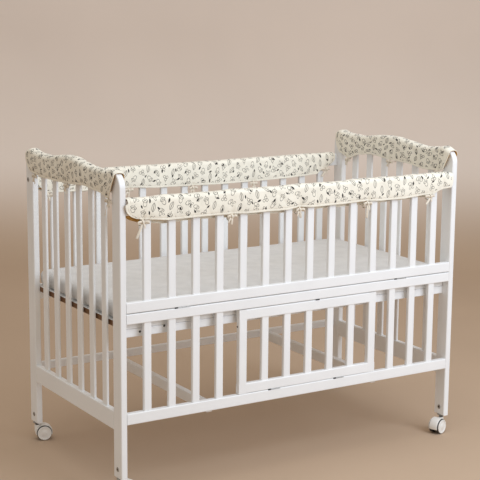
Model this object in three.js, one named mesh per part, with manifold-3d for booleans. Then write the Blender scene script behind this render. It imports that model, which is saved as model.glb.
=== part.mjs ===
// A four-piece cloth rail cover, tied over the top rails of a white wooden crib.
// Millimetres. +X runs along the crib, +Y to its back, +Z up. The origin is on the floor under its middle.
// Sizes along the crib are measured from its left front corner, and the whole group is shifted to the middle.
import * as THREE from 'three';
import { mergeVertices } from 'three/addons/utils/BufferGeometryUtils.js';
import Module from 'manifold-3d';

// The crib as a whole
const LENGTH = 1240;
const WIDTH = 665;
const BOARD = 20; // thickness of every post and rail
const SEAT = 0.3; // left between two pieces that meet

// The posts and the end panels
const POST = { wide: 50, foot: 62, top: 970, arch: 45, edge: 2 };
const END_RAIL = { under: 912, shoulder: 967, dip: 962, crown: 977, crownReach: 185, edge: 6, steps: 14 };
const END_FOOT_RAIL = [205, 262];
const END_SLATS = { count: 6, first: 120, pitch: 85, wide: 30, thick: 9 };

// The long sides
const SIDE_RAILS = { front: [848, 890.5], back: [844, 886.5] };
const SIDE_RAIL_ROUND = 8;
const EDGE = 3; // rounding of the plain rails
const SLAT = { wide: 25, thick: 13, pitch: 81.5, count: 14 };
const UPPER_FOOT_RAIL = [562, 594];
const MIDDLE_RAIL = [529, 560];
const BOTTOM_RAIL = [228, 262];
const BACK_FOOT_RAIL = [490, 524];
const BACK_BOTTOM_RAIL = [235, 260];
const GATE = {
  firstSlat: 4, lastSlat: 10, stile: 28, thick: 18, setBack: 1, rail: 32, gapUnder: 0.6, gapOver: 1.8,
};
const SLAT_BITE = 6; // how far a slat is let into its rail

// What lies between the sides
const DECK = { under: 508, top: 524, front: 30, back: 635 };
const DECK_BOARD = { under: 483, thick: 18 };
const MATTRESS = { front: 25, back: 640, ends: 26, top: 577, crown: 8, round: 20 };
const MATTRESS_STEPS = [6, 3, 1]; // between its rounded edges, in X, Y and Z
const FIRST_ROUND_LINE = 0.3; // share of a rounded edge's width at which its first line lies
const BEAM = { places: [308, 930], wide: 20, under: 218, top: 251 };

// The casters
const CASTER = {
  radius: 25, wheel: 15, width: 42, hood: 28, hoodWidth: 26, hoodLift: 2,
  trail: 22, stem: 9, stemFoot: 27, stemTop: 60.5, flange: 13, flangeUnder: 59,
};
const WHEEL_SIDES = 16;
const CASTERS = [
  { name: 'caster_front_left', x: 10, y: 25, trailAngle: 20 },
  { name: 'caster_front_right', x: 1230, y: 25, trailAngle: 198 },
  { name: 'caster_back_left', x: 10, y: 640, trailAngle: -16 },
  { name: 'caster_back_right', x: 1230, y: 640, trailAngle: 160 },
];

// The cloth, a lightly padded strip that lies over a rail and hangs down both of its faces
const CLOTH = 5;
const LIE = 0.6; // the strip's underside above the rail where it lies on it
const OFF_POST = 0.22; // slope at which it comes down from a post's top to an end rail
// Half of the strip's rounded top: how far out, and how far under its highest line
const SHOULDER = [
  { out: 0, drop: 0 },
  { out: 8.5, drop: -0.2 },
  { out: 14.5, drop: 4.4 },
  { out: 17.5, drop: 13 },
];
const FLAP_STEPS = 3;
const FOLD_STEPS = 2;
const CORNER_STEPS = 4;
const HALF_STEPS = SHOULDER.length - 1 + FLAP_STEPS;

// One row for each fold or tie of a cover. at: place along the rail; lift: how far the strip stands off the
// rail; outer and inner: heights of the hem on the outer and the inner face; puff: how far the flaps swell;
// pull: how far a tie draws the hem in. outerCut and innerCut: how far a hem's ends lie in from the strip's.
// cornerPower: how late on its way down a flap's end draws in.
const COVERS = {
  front: {
    outerCut: 30,
    innerCut: 24,
    cornerPower: 4,
    rows: [
      { at: 22.5, lift: 2.5, outer: 838, inner: 829, puff: 0.5, pull: 1 },
      { at: 72, lift: 0.5, outer: 829, inner: 822, puff: 1.5, pull: 4.5 },
      { at: 160, lift: 3, outer: 826, inner: 811.5, puff: 0.5, pull: 0 },
      { at: 250, lift: 0.5, outer: 830, inner: 815, puff: 1.5, pull: 0.5 },
      { at: 370, lift: 2.5, outer: 827, inner: 812, puff: 0.5, pull: 4.5 },
      { at: 480, lift: 0.5, outer: 832, inner: 815, puff: 2, pull: 0 },
      { at: 613, lift: 2, outer: 829, inner: 812, puff: 0.5, pull: 4.5 },
      { at: 740, lift: 0, outer: 833, inner: 813, puff: 1.5, pull: 0 },
      { at: 872, lift: 2.5, outer: 828, inner: 811, puff: 0.5, pull: 4.5 },
      { at: 1000, lift: 0.5, outer: 832, inner: 814, puff: 1.5, pull: 0 },
      { at: 1128, lift: 2, outer: 830, inner: 813, puff: 0.5, pull: 4.5 },
      { at: 1217.5, lift: 1, outer: 846, inner: 826, puff: 0.5, pull: 1 },
    ],
    ties: [72, 370, 613, 872, 1128],
    tieSide: 'outer',
  },
  back: {
    outerCut: 22,
    innerCut: 22,
    cornerPower: 2.5,
    rows: [
      { at: 24, lift: 1, outer: 832, inner: 838, puff: 0.5, pull: 1 },
      { at: 64, lift: 2, outer: 822, inner: 826, puff: 1.5, pull: 4.5 },
      { at: 200, lift: 0, outer: 816, inner: 824, puff: 0.5, pull: 0 },
      { at: 358, lift: 1.5, outer: 818, inner: 821, puff: 1.5, pull: 4.5 },
      { at: 480, lift: 0.5, outer: 820, inner: 815, puff: 0.5, pull: 0 },
      { at: 606, lift: 1, outer: 822, inner: 812, puff: 2, pull: 4.5 },
      { at: 720, lift: 0, outer: 824, inner: 810, puff: 0.5, pull: 0 },
      { at: 853, lift: 1.5, outer: 823, inner: 810, puff: 1.5, pull: 4.5 },
      { at: 970, lift: 0.5, outer: 820, inner: 812, puff: 0.5, pull: 0 },
      { at: 1060, lift: 2, outer: 818, inner: 815, puff: 1.5, pull: 0.5 },
      { at: 1120, lift: 0.5, outer: 822, inner: 818, puff: 0.5, pull: 1 },
      { at: 1154, lift: 1, outer: 836, inner: 838, puff: 1, pull: 3 },
      { at: 1169, lift: 2, outer: 838, inner: 840, puff: 1.5, pull: 4.5 },
      { at: 1204, lift: 1, outer: 848, inner: 850, puff: 0.5, pull: 1 },
    ],
    ties: [64, 358, 606, 853, 1169],
    tieSide: 'inner',
  },
  left: {
    outerCut: 18,
    innerCut: 18,
    cornerPower: 1.2,
    rows: [
      { at: 37, lift: 2, outer: 896, inner: 900, puff: 0.5, pull: 1 },
      { at: 62, lift: 1, outer: 892, inner: 896, puff: 1.5, pull: 4 },
      { at: 130, lift: 2, outer: 904, inner: 903, puff: 0.5, pull: 0 },
      { at: 220, lift: 0.5, outer: 909, inner: 905, puff: 1.5, pull: 0 },
      { at: 345, lift: 2.5, outer: 899, inner: 899, puff: 0.5, pull: 4 },
      { at: 450, lift: 0, outer: 897, inner: 903, puff: 1.5, pull: 0 },
      { at: 540, lift: 0.5, outer: 896, inner: 902, puff: 0.5, pull: 0.5 },
      { at: 586, lift: 1, outer: 900, inner: 896, puff: 1.5, pull: 4 },
      { at: 650, lift: 2.5, outer: 904, inner: 905, puff: 0.5, pull: 1 },
    ],
    ties: [62, 345, 586],
    tieSide: 'outer',
  },
  right: {
    outerCut: 18,
    innerCut: 18,
    cornerPower: 1.2,
    rows: [
      { at: 28, lift: 2, outer: 904, inner: 902, puff: 0.5, pull: 1 },
      { at: 66, lift: 2, outer: 898, inner: 894, puff: 1.5, pull: 4 },
      { at: 140, lift: 0, outer: 905, inner: 891, puff: 0.5, pull: 0 },
      { at: 237, lift: 2, outer: 906, inner: 900, puff: 1.5, pull: 0 },
      { at: 328, lift: 0.5, outer: 899, inner: 901, puff: 0.5, pull: 4 },
      { at: 439, lift: 1, outer: 904, inner: 908, puff: 1.5, pull: 0 },
      { at: 495, lift: 0, outer: 903, inner: 900, puff: 0.5, pull: 0 },
      { at: 574, lift: 1, outer: 897, inner: 881, puff: 1.5, pull: 4 },
      { at: 646, lift: 2, outer: 904, inner: 896, puff: 0.5, pull: 1 },
    ],
    ties: [66, 328, 574],
    tieSide: 'inner',
  },
};

// A tie: a ribbon from each hem, a knot, two loops and two free ends
const TIE = { wide: 7, neck: 3, thick: 1.6, knot: 6, bead: 10.2, under: 7.5, gap: 1.4, sag: 6 };
// The places of a loop between its ends in the knot: shares of its reach and droop, how far out, and up
const LOOP = [
  { reach: 0.55, droop: 0.3, out: 4, up: 0.5 },
  { reach: 1, droop: 1, out: 1, up: 0 },
  { reach: 0.55, droop: 0.6, out: -2, up: 0 },
];
// One row for each tie in turn: reach and droop of its loops, and the length and lean of its two ends
const TIE_SHAPES = [
  { left: 20, right: 18, droop: 3, endA: 46, leanA: 22, endB: 18, leanB: -7 },
  { left: 16, right: 17, droop: 1, endA: 24, leanA: 3, endB: 18, leanB: 12 },
  { left: 17, right: 14, droop: 4, endA: 26, leanA: -2, endB: 20, leanB: 9 },
  { left: 15, right: 16, droop: 2, endA: 46, leanA: 4, endB: 22, leanB: -8 },
  { left: 17, right: 18, droop: 5, endA: 22, leanA: 9, endB: 20, leanB: -9 },
];

const wasm = await Module();
wasm.setup();

const MATERIALS = {
  paint: new THREE.MeshStandardMaterial({ name: 'paint', color: 0xf4f3f0, roughness: 0.45 }),
  cloth: new THREE.MeshStandardMaterial({ name: 'cloth', color: 0xf3eddd, roughness: 0.95 }),
  tie: new THREE.MeshStandardMaterial({ name: 'tie', color: 0xe6d2b5, roughness: 0.9 }),
  mattress: new THREE.MeshStandardMaterial({ name: 'mattress', color: 0xe9e9ea, roughness: 0.9 }),
  caster: new THREE.MeshStandardMaterial({ name: 'caster', color: 0xdcdad5, roughness: 0.4 }),
};

const crib = new THREE.Group();
crib.position.set(-LENGTH / 2, -WIDTH / 2, 0);

function add(name, geometry, material) {
  const mesh = new THREE.Mesh(geometry, MATERIALS[material]);
  mesh.name = name;
  crib.add(mesh);
}

// Joining solids

function toSolid(geometry) {
  const bare = geometry.clone();
  bare.deleteAttribute('normal');
  bare.deleteAttribute('uv');
  const merged = mergeVertices(bare, 1e-4);
  return new wasm.Manifold(new wasm.Mesh({
    numProp: 3,
    vertProperties: merged.attributes.position.array,
    triVerts: new Uint32Array(merged.index.array),
  }));
}

function fuse(geometries) {
  const joined = geometries.map(toSolid).reduce((sum, next) => sum.add(next));
  const mesh = joined.getMesh();
  const geometry = new THREE.BufferGeometry();
  geometry.setAttribute('position', new THREE.BufferAttribute(mesh.vertProperties, 3));
  geometry.setIndex(new THREE.BufferAttribute(mesh.triVerts, 1));
  return geometry;
}

// Boards and sticks

// Turns an extrusion along Z so that it runs along the named axis
const ALONG = {
  x: new THREE.Matrix4().makeBasis(
    new THREE.Vector3(0, 1, 0), new THREE.Vector3(0, 0, 1), new THREE.Vector3(1, 0, 0)),
  y: new THREE.Matrix4().makeBasis(
    new THREE.Vector3(0, 0, 1), new THREE.Vector3(1, 0, 0), new THREE.Vector3(0, 1, 0)),
  z: new THREE.Matrix4(),
};

// A rectangle with rounded corners, its first two radii at the low side and the last two at the high side
function roundedRectangle([x0, x1], [y0, y1], low, high) {
  const shape = new THREE.Shape();
  shape.moveTo(x0 + low, y0);
  shape.lineTo(x1 - low, y0);
  shape.absarc(x1 - low, y0 + low, low, -Math.PI / 2, 0);
  shape.absarc(x1 - high, y1 - high, high, 0, Math.PI / 2);
  shape.absarc(x0 + high, y1 - high, high, Math.PI / 2, Math.PI);
  shape.absarc(x0 + low, y0 + low, low, Math.PI, Math.PI * 1.5);
  return shape;
}

// A straight piece with rounded long edges, between the given limits in X, Y and Z
function bar(axis, x, y, z, { low = EDGE, high = low, segments = 2 } = {}) {
  const across = { x: [y, z], y: [z, x], z: [x, y] }[axis];
  const run = { x, y, z }[axis];
  const shape = roundedRectangle(across[0], across[1], low, high);
  const geometry = new THREE.ExtrudeGeometry(shape, {
    depth: run[1] - run[0], bevelEnabled: false, curveSegments: segments,
  });
  geometry.translate(0, 0, run[0]);
  return geometry.applyMatrix4(ALONG[axis]);
}

// A board cut to an outline in Y and Z, with its edges eased all round
function board(outline, x, edge, segments) {
  const geometry = new THREE.ExtrudeGeometry(outline, {
    depth: x[1] - x[0] - 2 * edge,
    bevelThickness: edge,
    bevelSize: edge,
    bevelOffset: -edge,
    bevelSegments: segments,
    curveSegments: 8,
  });
  geometry.translate(0, 0, x[0] + edge);
  return geometry.applyMatrix4(ALONG.x);
}

const LEFT_X = [0, BOARD];
const RIGHT_X = [LENGTH - BOARD, LENGTH];
const FRONT_Y = [0, BOARD];
const BACK_Y = [WIDTH - BOARD, WIDTH];
const BETWEEN_POSTS = [BOARD + SEAT, LENGTH - BOARD - SEAT];

const slatPlace = (number) => LENGTH / 2 + (number - (SLAT.count - 1) / 2) * SLAT.pitch;

function sideSlat(number, y, z) {
  const x = slatPlace(number);
  const middle = (y[0] + y[1]) / 2;
  const thickness = [middle - SLAT.thick / 2, middle + SLAT.thick / 2];
  return bar('z', [x - SLAT.wide / 2, x + SLAT.wide / 2], thickness, z, { segments: 1 });
}

// The ends

// The height of an end rail's upper edge: level shoulders, a slight dip, and a crown in the middle
function endRailTop(y) {
  const fromMiddle = Math.abs(y - WIDTH / 2);
  const { shoulder, dip, crown, crownReach } = END_RAIL;
  if (fromMiddle < crownReach) {
    return dip + (crown - dip) * Math.cos((Math.PI / 2) * (fromMiddle / crownReach)) ** 2;
  }
  const toShoulder = (fromMiddle - crownReach) / (WIDTH / 2 - POST.wide - crownReach);
  return dip + (shoulder - dip) * Math.min(1, toShoulder) ** 2;
}

function post(x, atFront) {
  const inner = POST.wide;
  const outline = new THREE.Shape();
  outline.moveTo(inner, POST.foot);
  outline.lineTo(inner, POST.top);
  outline.lineTo(POST.arch, POST.top);
  outline.absarc(POST.arch, POST.top - POST.arch, POST.arch, Math.PI / 2, Math.PI);
  outline.lineTo(0, POST.foot);
  const geometry = board(outline, [0, BOARD], POST.edge, 1);
  if (!atFront) {
    geometry.rotateZ(Math.PI);
    geometry.translate(BOARD, WIDTH, 0);
  }
  return geometry.translate(x[0], 0, 0);
}

function endPanel(x) {
  const [front, back] = [POST.wide + SEAT, WIDTH - POST.wide - SEAT];
  const outline = new THREE.Shape();
  outline.moveTo(front, END_RAIL.under);
  outline.lineTo(back, END_RAIL.under);
  for (let step = 0; step <= END_RAIL.steps; step += 1) {
    const y = back + ((front - back) * step) / END_RAIL.steps;
    outline.lineTo(y, endRailTop(y));
  }
  const middle = (x[0] + x[1]) / 2;
  const thickness = [middle - END_SLATS.thick / 2, middle + END_SLATS.thick / 2];
  const pieces = [board(outline, x, END_RAIL.edge, 2), bar('y', x, [front, back], END_FOOT_RAIL)];
  for (let number = 0; number < END_SLATS.count; number += 1) {
    const y = END_SLATS.first + number * END_SLATS.pitch;
    const width = [y - END_SLATS.wide / 2, y + END_SLATS.wide / 2];
    const reach = [END_FOOT_RAIL[1] - SLAT_BITE, END_RAIL.under + SLAT_BITE];
    pieces.push(bar('z', thickness, width, reach, { segments: 1 }));
  }
  return fuse(pieces);
}

for (const [side, x] of [['left', LEFT_X], ['right', RIGHT_X]]) {
  add(`post_front_${side}`, post(x, true), 'paint');
  add(`post_back_${side}`, post(x, false), 'paint');
  add(`end_panel_${side}`, endPanel(x), 'paint');
}

// The long sides

function slattedSide(y, footRail, topRail) {
  const pieces = [
    bar('x', BETWEEN_POSTS, y, topRail, { low: EDGE, high: SIDE_RAIL_ROUND, segments: 3 }),
    bar('x', BETWEEN_POSTS, y, footRail),
  ];
  for (let number = 0; number < SLAT.count; number += 1) {
    pieces.push(sideSlat(number, y, [footRail[1] - SLAT_BITE, topRail[0] + SLAT_BITE]));
  }
  return fuse(pieces);
}

add('side_front', slattedSide(FRONT_Y, UPPER_FOOT_RAIL, SIDE_RAILS.front), 'paint');
add('side_back', slattedSide(BACK_Y, BACK_FOOT_RAIL, SIDE_RAILS.back), 'paint');
add('rail_middle_front', bar('x', BETWEEN_POSTS, FRONT_Y, MIDDLE_RAIL), 'paint');
add('rail_bottom_front', bar('x', BETWEEN_POSTS, FRONT_Y, BOTTOM_RAIL), 'paint');
add('rail_bottom_back', bar('x', BETWEEN_POSTS, BACK_Y, BACK_BOTTOM_RAIL), 'paint');

function gate() {
  const x = [slatPlace(GATE.firstSlat) - GATE.stile / 2, slatPlace(GATE.lastSlat) + GATE.stile / 2];
  const y = [GATE.setBack, GATE.setBack + GATE.thick];
  const z = [BOTTOM_RAIL[1] + GATE.gapUnder, MIDDLE_RAIL[0] - GATE.gapOver];
  const pieces = [
    bar('x', x, y, [z[0], z[0] + GATE.rail], { segments: 1 }),
    bar('x', x, y, [z[1] - GATE.rail, z[1]], { segments: 1 }),
    bar('z', [x[0], x[0] + GATE.stile], y, z, { segments: 1 }),
    bar('z', [x[1] - GATE.stile, x[1]], y, z, { segments: 1 }),
  ];
  for (let number = GATE.firstSlat + 1; number < GATE.lastSlat; number += 1) {
    pieces.push(sideSlat(number, y, [z[0] + GATE.rail - SLAT_BITE, z[1] - GATE.rail + SLAT_BITE]));
  }
  return fuse(pieces);
}

add('gate', gate(), 'paint');

for (let number = 0; number < SLAT.count; number += 1) {
  if (number >= GATE.firstSlat && number <= GATE.lastSlat) continue;
  const reach = [BOTTOM_RAIL[1] + SEAT, MIDDLE_RAIL[0] - SEAT];
  add(`lower_slat_${number + 1}`, sideSlat(number, FRONT_Y, reach), 'paint');
}

// The deck, the mattress and the beams under them

add('deck', bar('x', BETWEEN_POSTS, [DECK.front, DECK.back], [DECK.under, DECK.top]), 'paint');
for (const [side, y] of [['front', DECK.front], ['back', DECK.back - DECK_BOARD.thick]]) {
  const height = [DECK_BOARD.under, DECK.under - SEAT];
  add(`deck_board_${side}`, bar('x', BETWEEN_POSTS, [y, y + DECK_BOARD.thick], height), 'paint');
}
BEAM.places.forEach((x, index) => {
  const run = [FRONT_Y[1] + SEAT, BACK_Y[0] - SEAT];
  const width = [x - BEAM.wide / 2, x + BEAM.wide / 2];
  add(`beam_${index + 1}`, bar('y', width, run, [BEAM.under, BEAM.top]), 'paint');
});

// Places along one edge of a pad, close together where the edge is rounded
function padLines(low, high, round, inner) {
  const first = round * FIRST_ROUND_LINE;
  const lines = [low, low + first, low + round];
  for (let step = 1; step < inner; step += 1) {
    lines.push(low + round + ((high - low - 2 * round) * step) / inner);
  }
  return [...lines, high - round, high - first, high];
}

// A pad with rounded edges and a crowned top
function pad(x, y, z, { round, crown }) {
  const limits = [x, y, z];
  const lines = limits.map(([low, high], axis) => padLines(low, high, round, MATTRESS_STEPS[axis]));
  const [nx, ny, nz] = lines.map((list) => list.length - 1);
  const geometry = new THREE.BoxGeometry(nx, ny, nz, nx, ny, nz);
  const place = geometry.attributes.position;
  const counts = [nx, ny, nz];
  for (let index = 0; index < place.count; index += 1) {
    const grid = [place.getX(index), place.getY(index), place.getZ(index)];
    const at = grid.map((value, axis) => lines[axis][Math.round(value + counts[axis] / 2)]);
    const core = at.map((value, axis) => {
      const [low, high] = limits[axis];
      return Math.min(Math.max(value, low + round), high - round);
    });
    const away = new THREE.Vector3(...at.map((value, axis) => value - core[axis]));
    if (away.length() > 0) away.setLength(round);
    const moved = new THREE.Vector3(...core).add(away);
    const across = limits.map(([low, high], axis) => (2 * core[axis] - low - high) / (high - low));
    if (moved.z > (z[0] + z[1]) / 2) moved.z += crown * (1 - across[0] ** 4) * (1 - across[1] ** 2);
    place.setXYZ(index, moved.x, moved.y, moved.z);
  }
  return geometry;
}

const MATTRESS_X = [MATTRESS.ends, LENGTH - MATTRESS.ends];
const MATTRESS_Y = [MATTRESS.front, MATTRESS.back];
const MATTRESS_Z = [DECK.top + SEAT, MATTRESS.top];
add('mattress', pad(MATTRESS_X, MATTRESS_Y, MATTRESS_Z, MATTRESS), 'mattress');

// The casters

// A round bar along the caster's own X, with a flat facet at its lowest line
function roller(radius, x0, x1, sides) {
  const geometry = new THREE.CylinderGeometry(
    radius / Math.cos(Math.PI / sides), radius / Math.cos(Math.PI / sides), x1 - x0, sides, 1);
  geometry.rotateY(Math.PI / sides);
  geometry.rotateZ(Math.PI / 2);
  return geometry.translate((x0 + x1) / 2, 0, CASTER.radius);
}

function upright(radius, y, z0, z1) {
  const geometry = new THREE.CylinderGeometry(radius, radius, z1 - z0, 12);
  geometry.rotateX(Math.PI / 2);
  return geometry.translate(0, y, (z0 + z1) / 2);
}

function caster({ x, y, trailAngle }) {
  const half = CASTER.width / 2;
  const hood = toSolid(roller(CASTER.hood, -CASTER.hoodWidth / 2, CASTER.hoodWidth / 2, WHEEL_SIDES));
  const lower = new THREE.BoxGeometry(2 * CASTER.width, 4 * CASTER.hood, 2 * CASTER.radius);
  lower.translate(0, 0, -CASTER.hoodLift);
  const shape = hood.subtract(toSolid(lower))
    .add(toSolid(roller(CASTER.radius, -half, -half + CASTER.wheel, WHEEL_SIDES)))
    .add(toSolid(roller(CASTER.radius, half - CASTER.wheel, half, WHEEL_SIDES)))
    .add(toSolid(upright(CASTER.stem, CASTER.trail, CASTER.stemFoot, CASTER.stemTop)))
    .add(toSolid(upright(CASTER.flange, CASTER.trail, CASTER.flangeUnder, POST.foot - SEAT)));
  const mesh = shape.getMesh();
  const geometry = new THREE.BufferGeometry();
  geometry.setAttribute('position', new THREE.BufferAttribute(mesh.vertProperties, 3));
  geometry.setIndex(new THREE.BufferAttribute(mesh.triVerts, 1));
  geometry.translate(0, -CASTER.trail, 0);
  geometry.rotateZ(THREE.MathUtils.degToRad(trailAngle + 90));
  return geometry.translate(x, y, 0);
}

for (const place of CASTERS) add(place.name, caster(place), 'caster');

// The cloth

// The value of one column of a cover's rows at a place along it, eased from row to row
function rowValue(rows, column, at) {
  const next = rows.findIndex((row) => row.at >= at);
  if (next === 0) return rows[0][column];
  if (next < 0) return rows[rows.length - 1][column];
  const [a, b] = [rows[next - 1], rows[next]];
  const t = (at - a.at) / (b.at - a.at);
  return a[column] + (b[column] - a[column]) * t * t * (3 - 2 * t);
}

// The height that an end cover lies over: the end rail, and at each end the post with its arched corner
function endTop(at) {
  const fromEnd = Math.min(at, WIDTH - at);
  if (fromEnd > POST.wide) {
    return Math.max(endRailTop(at), POST.top - OFF_POST * (fromEnd - POST.wide));
  }
  const past = Math.max(0, POST.arch - fromEnd);
  return POST.top - POST.arch + Math.sqrt(POST.arch ** 2 - past ** 2);
}

const RAIL_UNDER = {
  front: () => SIDE_RAILS.front[1],
  back: () => SIDE_RAILS.back[1],
  left: endTop,
  right: endTop,
};

// From a place along a rail, outwards and up, to the crib
const PLACE = {
  front: (at, out, z) => new THREE.Vector3(at, BOARD / 2 - out, z),
  back: (at, out, z) => new THREE.Vector3(at, WIDTH - BOARD / 2 + out, z),
  left: (at, out, z) => new THREE.Vector3(BOARD / 2 - out, at, z),
  right: (at, out, z) => new THREE.Vector3(LENGTH - BOARD / 2 + out, at, z),
};

// The places along a cover where its section is drawn: every row, and some evenly between each pair
function stations(rows) {
  const last = rows.length - 1;
  const places = rows.slice(1).flatMap((row, index) => {
    const steps = index === 0 || index === last - 1 ? CORNER_STEPS : FOLD_STEPS;
    const from = rows[index].at;
    return Array.from({ length: steps }, (_, step) => from + ((row.at - from) * step) / steps);
  });
  return [...places, rows[last].at];
}

// How far the cut corners draw a flap's end in, fading out over the first and the last pair of rows
function cornerShift(rows, at, inset) {
  const [first, second] = [rows[0].at, rows[1].at];
  const [last, secondLast] = [rows[rows.length - 1].at, rows[rows.length - 2].at];
  if (at < second) return (inset * (second - at)) / (second - first);
  if (at > secondLast) return (-inset * (at - secondLast)) / (last - secondLast);
  return 0;
}

// A point midway through the cloth. across counts steps from the outer hem (-) over the top to the inner (+).
function coverPoint(side, at, across) {
  const { rows, outerCut, innerCut, cornerPower } = COVERS[side];
  const level = Math.abs(across);
  const domeSteps = SHOULDER.length - 1;
  const down = Math.max(0, (level - domeSteps) / FLAP_STEPS);
  const top = RAIL_UNDER[side](at) + LIE + CLOTH / 2 + rowValue(rows, 'lift', at);
  const { out, drop } = SHOULDER[Math.min(level, domeSteps)];
  const hem = rowValue(rows, across < 0 ? 'outer' : 'inner', at);
  const z = (top - drop) * (1 - down) + hem * down;
  const puff = rowValue(rows, 'puff', at) * Math.sin(Math.PI * down);
  const swell = puff - rowValue(rows, 'pull', at) * down ** 2;
  const cut = across < 0 ? outerCut : innerCut;
  const along = at + cornerShift(rows, at, cut * down ** cornerPower);
  return PLACE[side](along, -Math.sign(across) * (out + swell), z);
}

// Closes a grid of points midway through a sheet into a solid of the given thickness
function sheetSolid(midpoint, uSteps, vSteps, thickness) {
  const columns = vSteps + 1;
  const middle = [];
  for (let u = 0; u <= uSteps; u += 1) {
    for (let v = 0; v <= vSteps; v += 1) middle.push(midpoint(u, v));
  }
  const at = (u, v) => middle[Math.min(Math.max(u, 0), uSteps) * columns + Math.min(Math.max(v, 0), vSteps)];
  const places = [];
  for (const sign of [1, -1]) {
    for (let u = 0; u <= uSteps; u += 1) {
      for (let v = 0; v <= vSteps; v += 1) {
        const along = at(u + 1, v).clone().sub(at(u - 1, v));
        const over = at(u, v + 1).clone().sub(at(u, v - 1));
        const normal = along.cross(over).setLength((sign * thickness) / 2);
        places.push(at(u, v).clone().add(normal));
      }
    }
  }
  const under = middle.length;
  const faces = [];
  const quad = (a, b, c, d) => faces.push(a, b, c, a, c, d);
  for (let u = 0; u < uSteps; u += 1) {
    for (let v = 0; v < vSteps; v += 1) {
      const corner = u * columns + v;
      quad(corner, corner + columns, corner + columns + 1, corner + 1);
      quad(under + corner, under + corner + 1, under + corner + columns + 1, under + corner + columns);
    }
    const [start, end] = [u * columns, u * columns + vSteps];
    quad(start, under + start, under + start + columns, start + columns);
    quad(end + columns, under + end + columns, under + end, end);
  }
  for (let v = 0; v < vSteps; v += 1) {
    const last = uSteps * columns + v;
    quad(v + 1, under + v + 1, under + v, v);
    quad(last, under + last, under + last + 1, last + 1);
  }
  return outward(places, faces);
}

// Makes a mesh of places and faces, turned so that its faces point out
function outward(places, faces) {
  let volume = 0;
  for (let face = 0; face < faces.length; face += 3) {
    const [a, b, c] = [places[faces[face]], places[faces[face + 1]], places[faces[face + 2]]];
    volume += a.dot(b.clone().cross(c));
  }
  if (volume < 0) faces.reverse();
  const geometry = new THREE.BufferGeometry().setFromPoints(places);
  geometry.setIndex(faces);
  return geometry;
}

for (const side of Object.keys(COVERS)) {
  const places = stations(COVERS[side].rows);
  const midpoint = (u, v) => coverPoint(side, places[u], v - HALF_STEPS);
  const geometry = sheetSolid(midpoint, places.length - 1, 2 * HALF_STEPS, CLOTH);
  add(`cover_${side}`, geometry, 'cloth');
}

// The ties

// A flat ribbon along a smooth curve through the given places, its width lying along the given direction.
// It is gathered to a narrow neck at each end that goes into the knot.
function ribbon(places, widthways, steps, neckAtStart, neckAtEnd) {
  const curve = new THREE.CatmullRomCurve3(places, false, 'centripetal');
  const corners = [];
  for (let step = 0; step <= steps; step += 1) {
    const run = curve.getTangent(step / steps);
    const neck = (step === 0 && neckAtStart) || (step === steps && neckAtEnd);
    const half = (neck ? TIE.neck : TIE.wide) / 2;
    const wide = widthways.clone().addScaledVector(run, -widthways.dot(run)).setLength(half);
    const thick = run.clone().cross(wide).setLength(TIE.thick / 2);
    const middle = curve.getPoint(step / steps);
    for (const [w, t] of [[1, 1], [-1, 1], [-1, -1], [1, -1]]) {
      corners.push(middle.clone().addScaledVector(wide, w).addScaledVector(thick, t));
    }
  }
  const faces = [0, 1, 2, 0, 2, 3];
  for (let step = 0; step < steps; step += 1) {
    for (let edge = 0; edge < 4; edge += 1) {
      const [a, b] = [step * 4 + edge, step * 4 + ((edge + 1) % 4)];
      faces.push(a, a + 4, b, b, a + 4, b + 4);
    }
  }
  const last = steps * 4;
  faces.push(last, last + 2, last + 1, last, last + 3, last + 2);
  return outward(corners, faces);
}

// A tie in its own frame: X along the rail, Y out on the side of the bow, Z up from the near hem
function tie(nearOut, farOut, farHem, shape) {
  const { left, right, droop, endA, leanA, endB, leanB } = shape;
  const knot = new THREE.Vector3(0, nearOut + 1, -TIE.under);
  const from = (x, y, z) => new THREE.Vector3(x, y, z).add(knot);
  const along = new THREE.Vector3(1, 0, 0);
  const up = new THREE.Vector3(0, 0, 1);
  const start = TIE.gap;
  const strips = [
    ribbon([new THREE.Vector3(0, nearOut, -start), knot], along, 1, false, true),
    ribbon([
      new THREE.Vector3(0, -farOut, farHem - start),
      new THREE.Vector3(0, -farOut / 2, farHem - TIE.sag),
      new THREE.Vector3(0, nearOut / 2, Math.min(farHem, 0) - 5),
      knot,
    ], along, 3, false, true),
    ribbon([knot, from(leanA * 0.4, 2, -endA * 0.4), from(leanA, 1, -endA)], along, 2, true, false),
    ribbon([knot, from(leanB * 0.7, 2.5, -endB * 0.5), from(leanB, 1.5, -endB)], along, 1, true, false),
  ];
  for (const reach of [-left, right]) {
    const places = LOOP.map((row) => from(reach * row.reach, row.out, row.up - droop * row.droop));
    strips.push(ribbon([knot, ...places, knot], up, 4, true, true));
  }
  const bead = new THREE.CylinderGeometry(TIE.knot * 0.8, TIE.knot, TIE.bead, 6);
  bead.rotateX(Math.PI / 2);
  bead.translate(knot.x, knot.y, knot.z);
  return fuse([bead, ...strips]);
}

// Where the hem's middle line lies out from the rail, and its height
function hemAt(side, at, column) {
  const rows = COVERS[side].rows;
  const out = SHOULDER[SHOULDER.length - 1].out - rowValue(rows, 'pull', at);
  return { out, height: rowValue(rows, column, at) };
}

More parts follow.
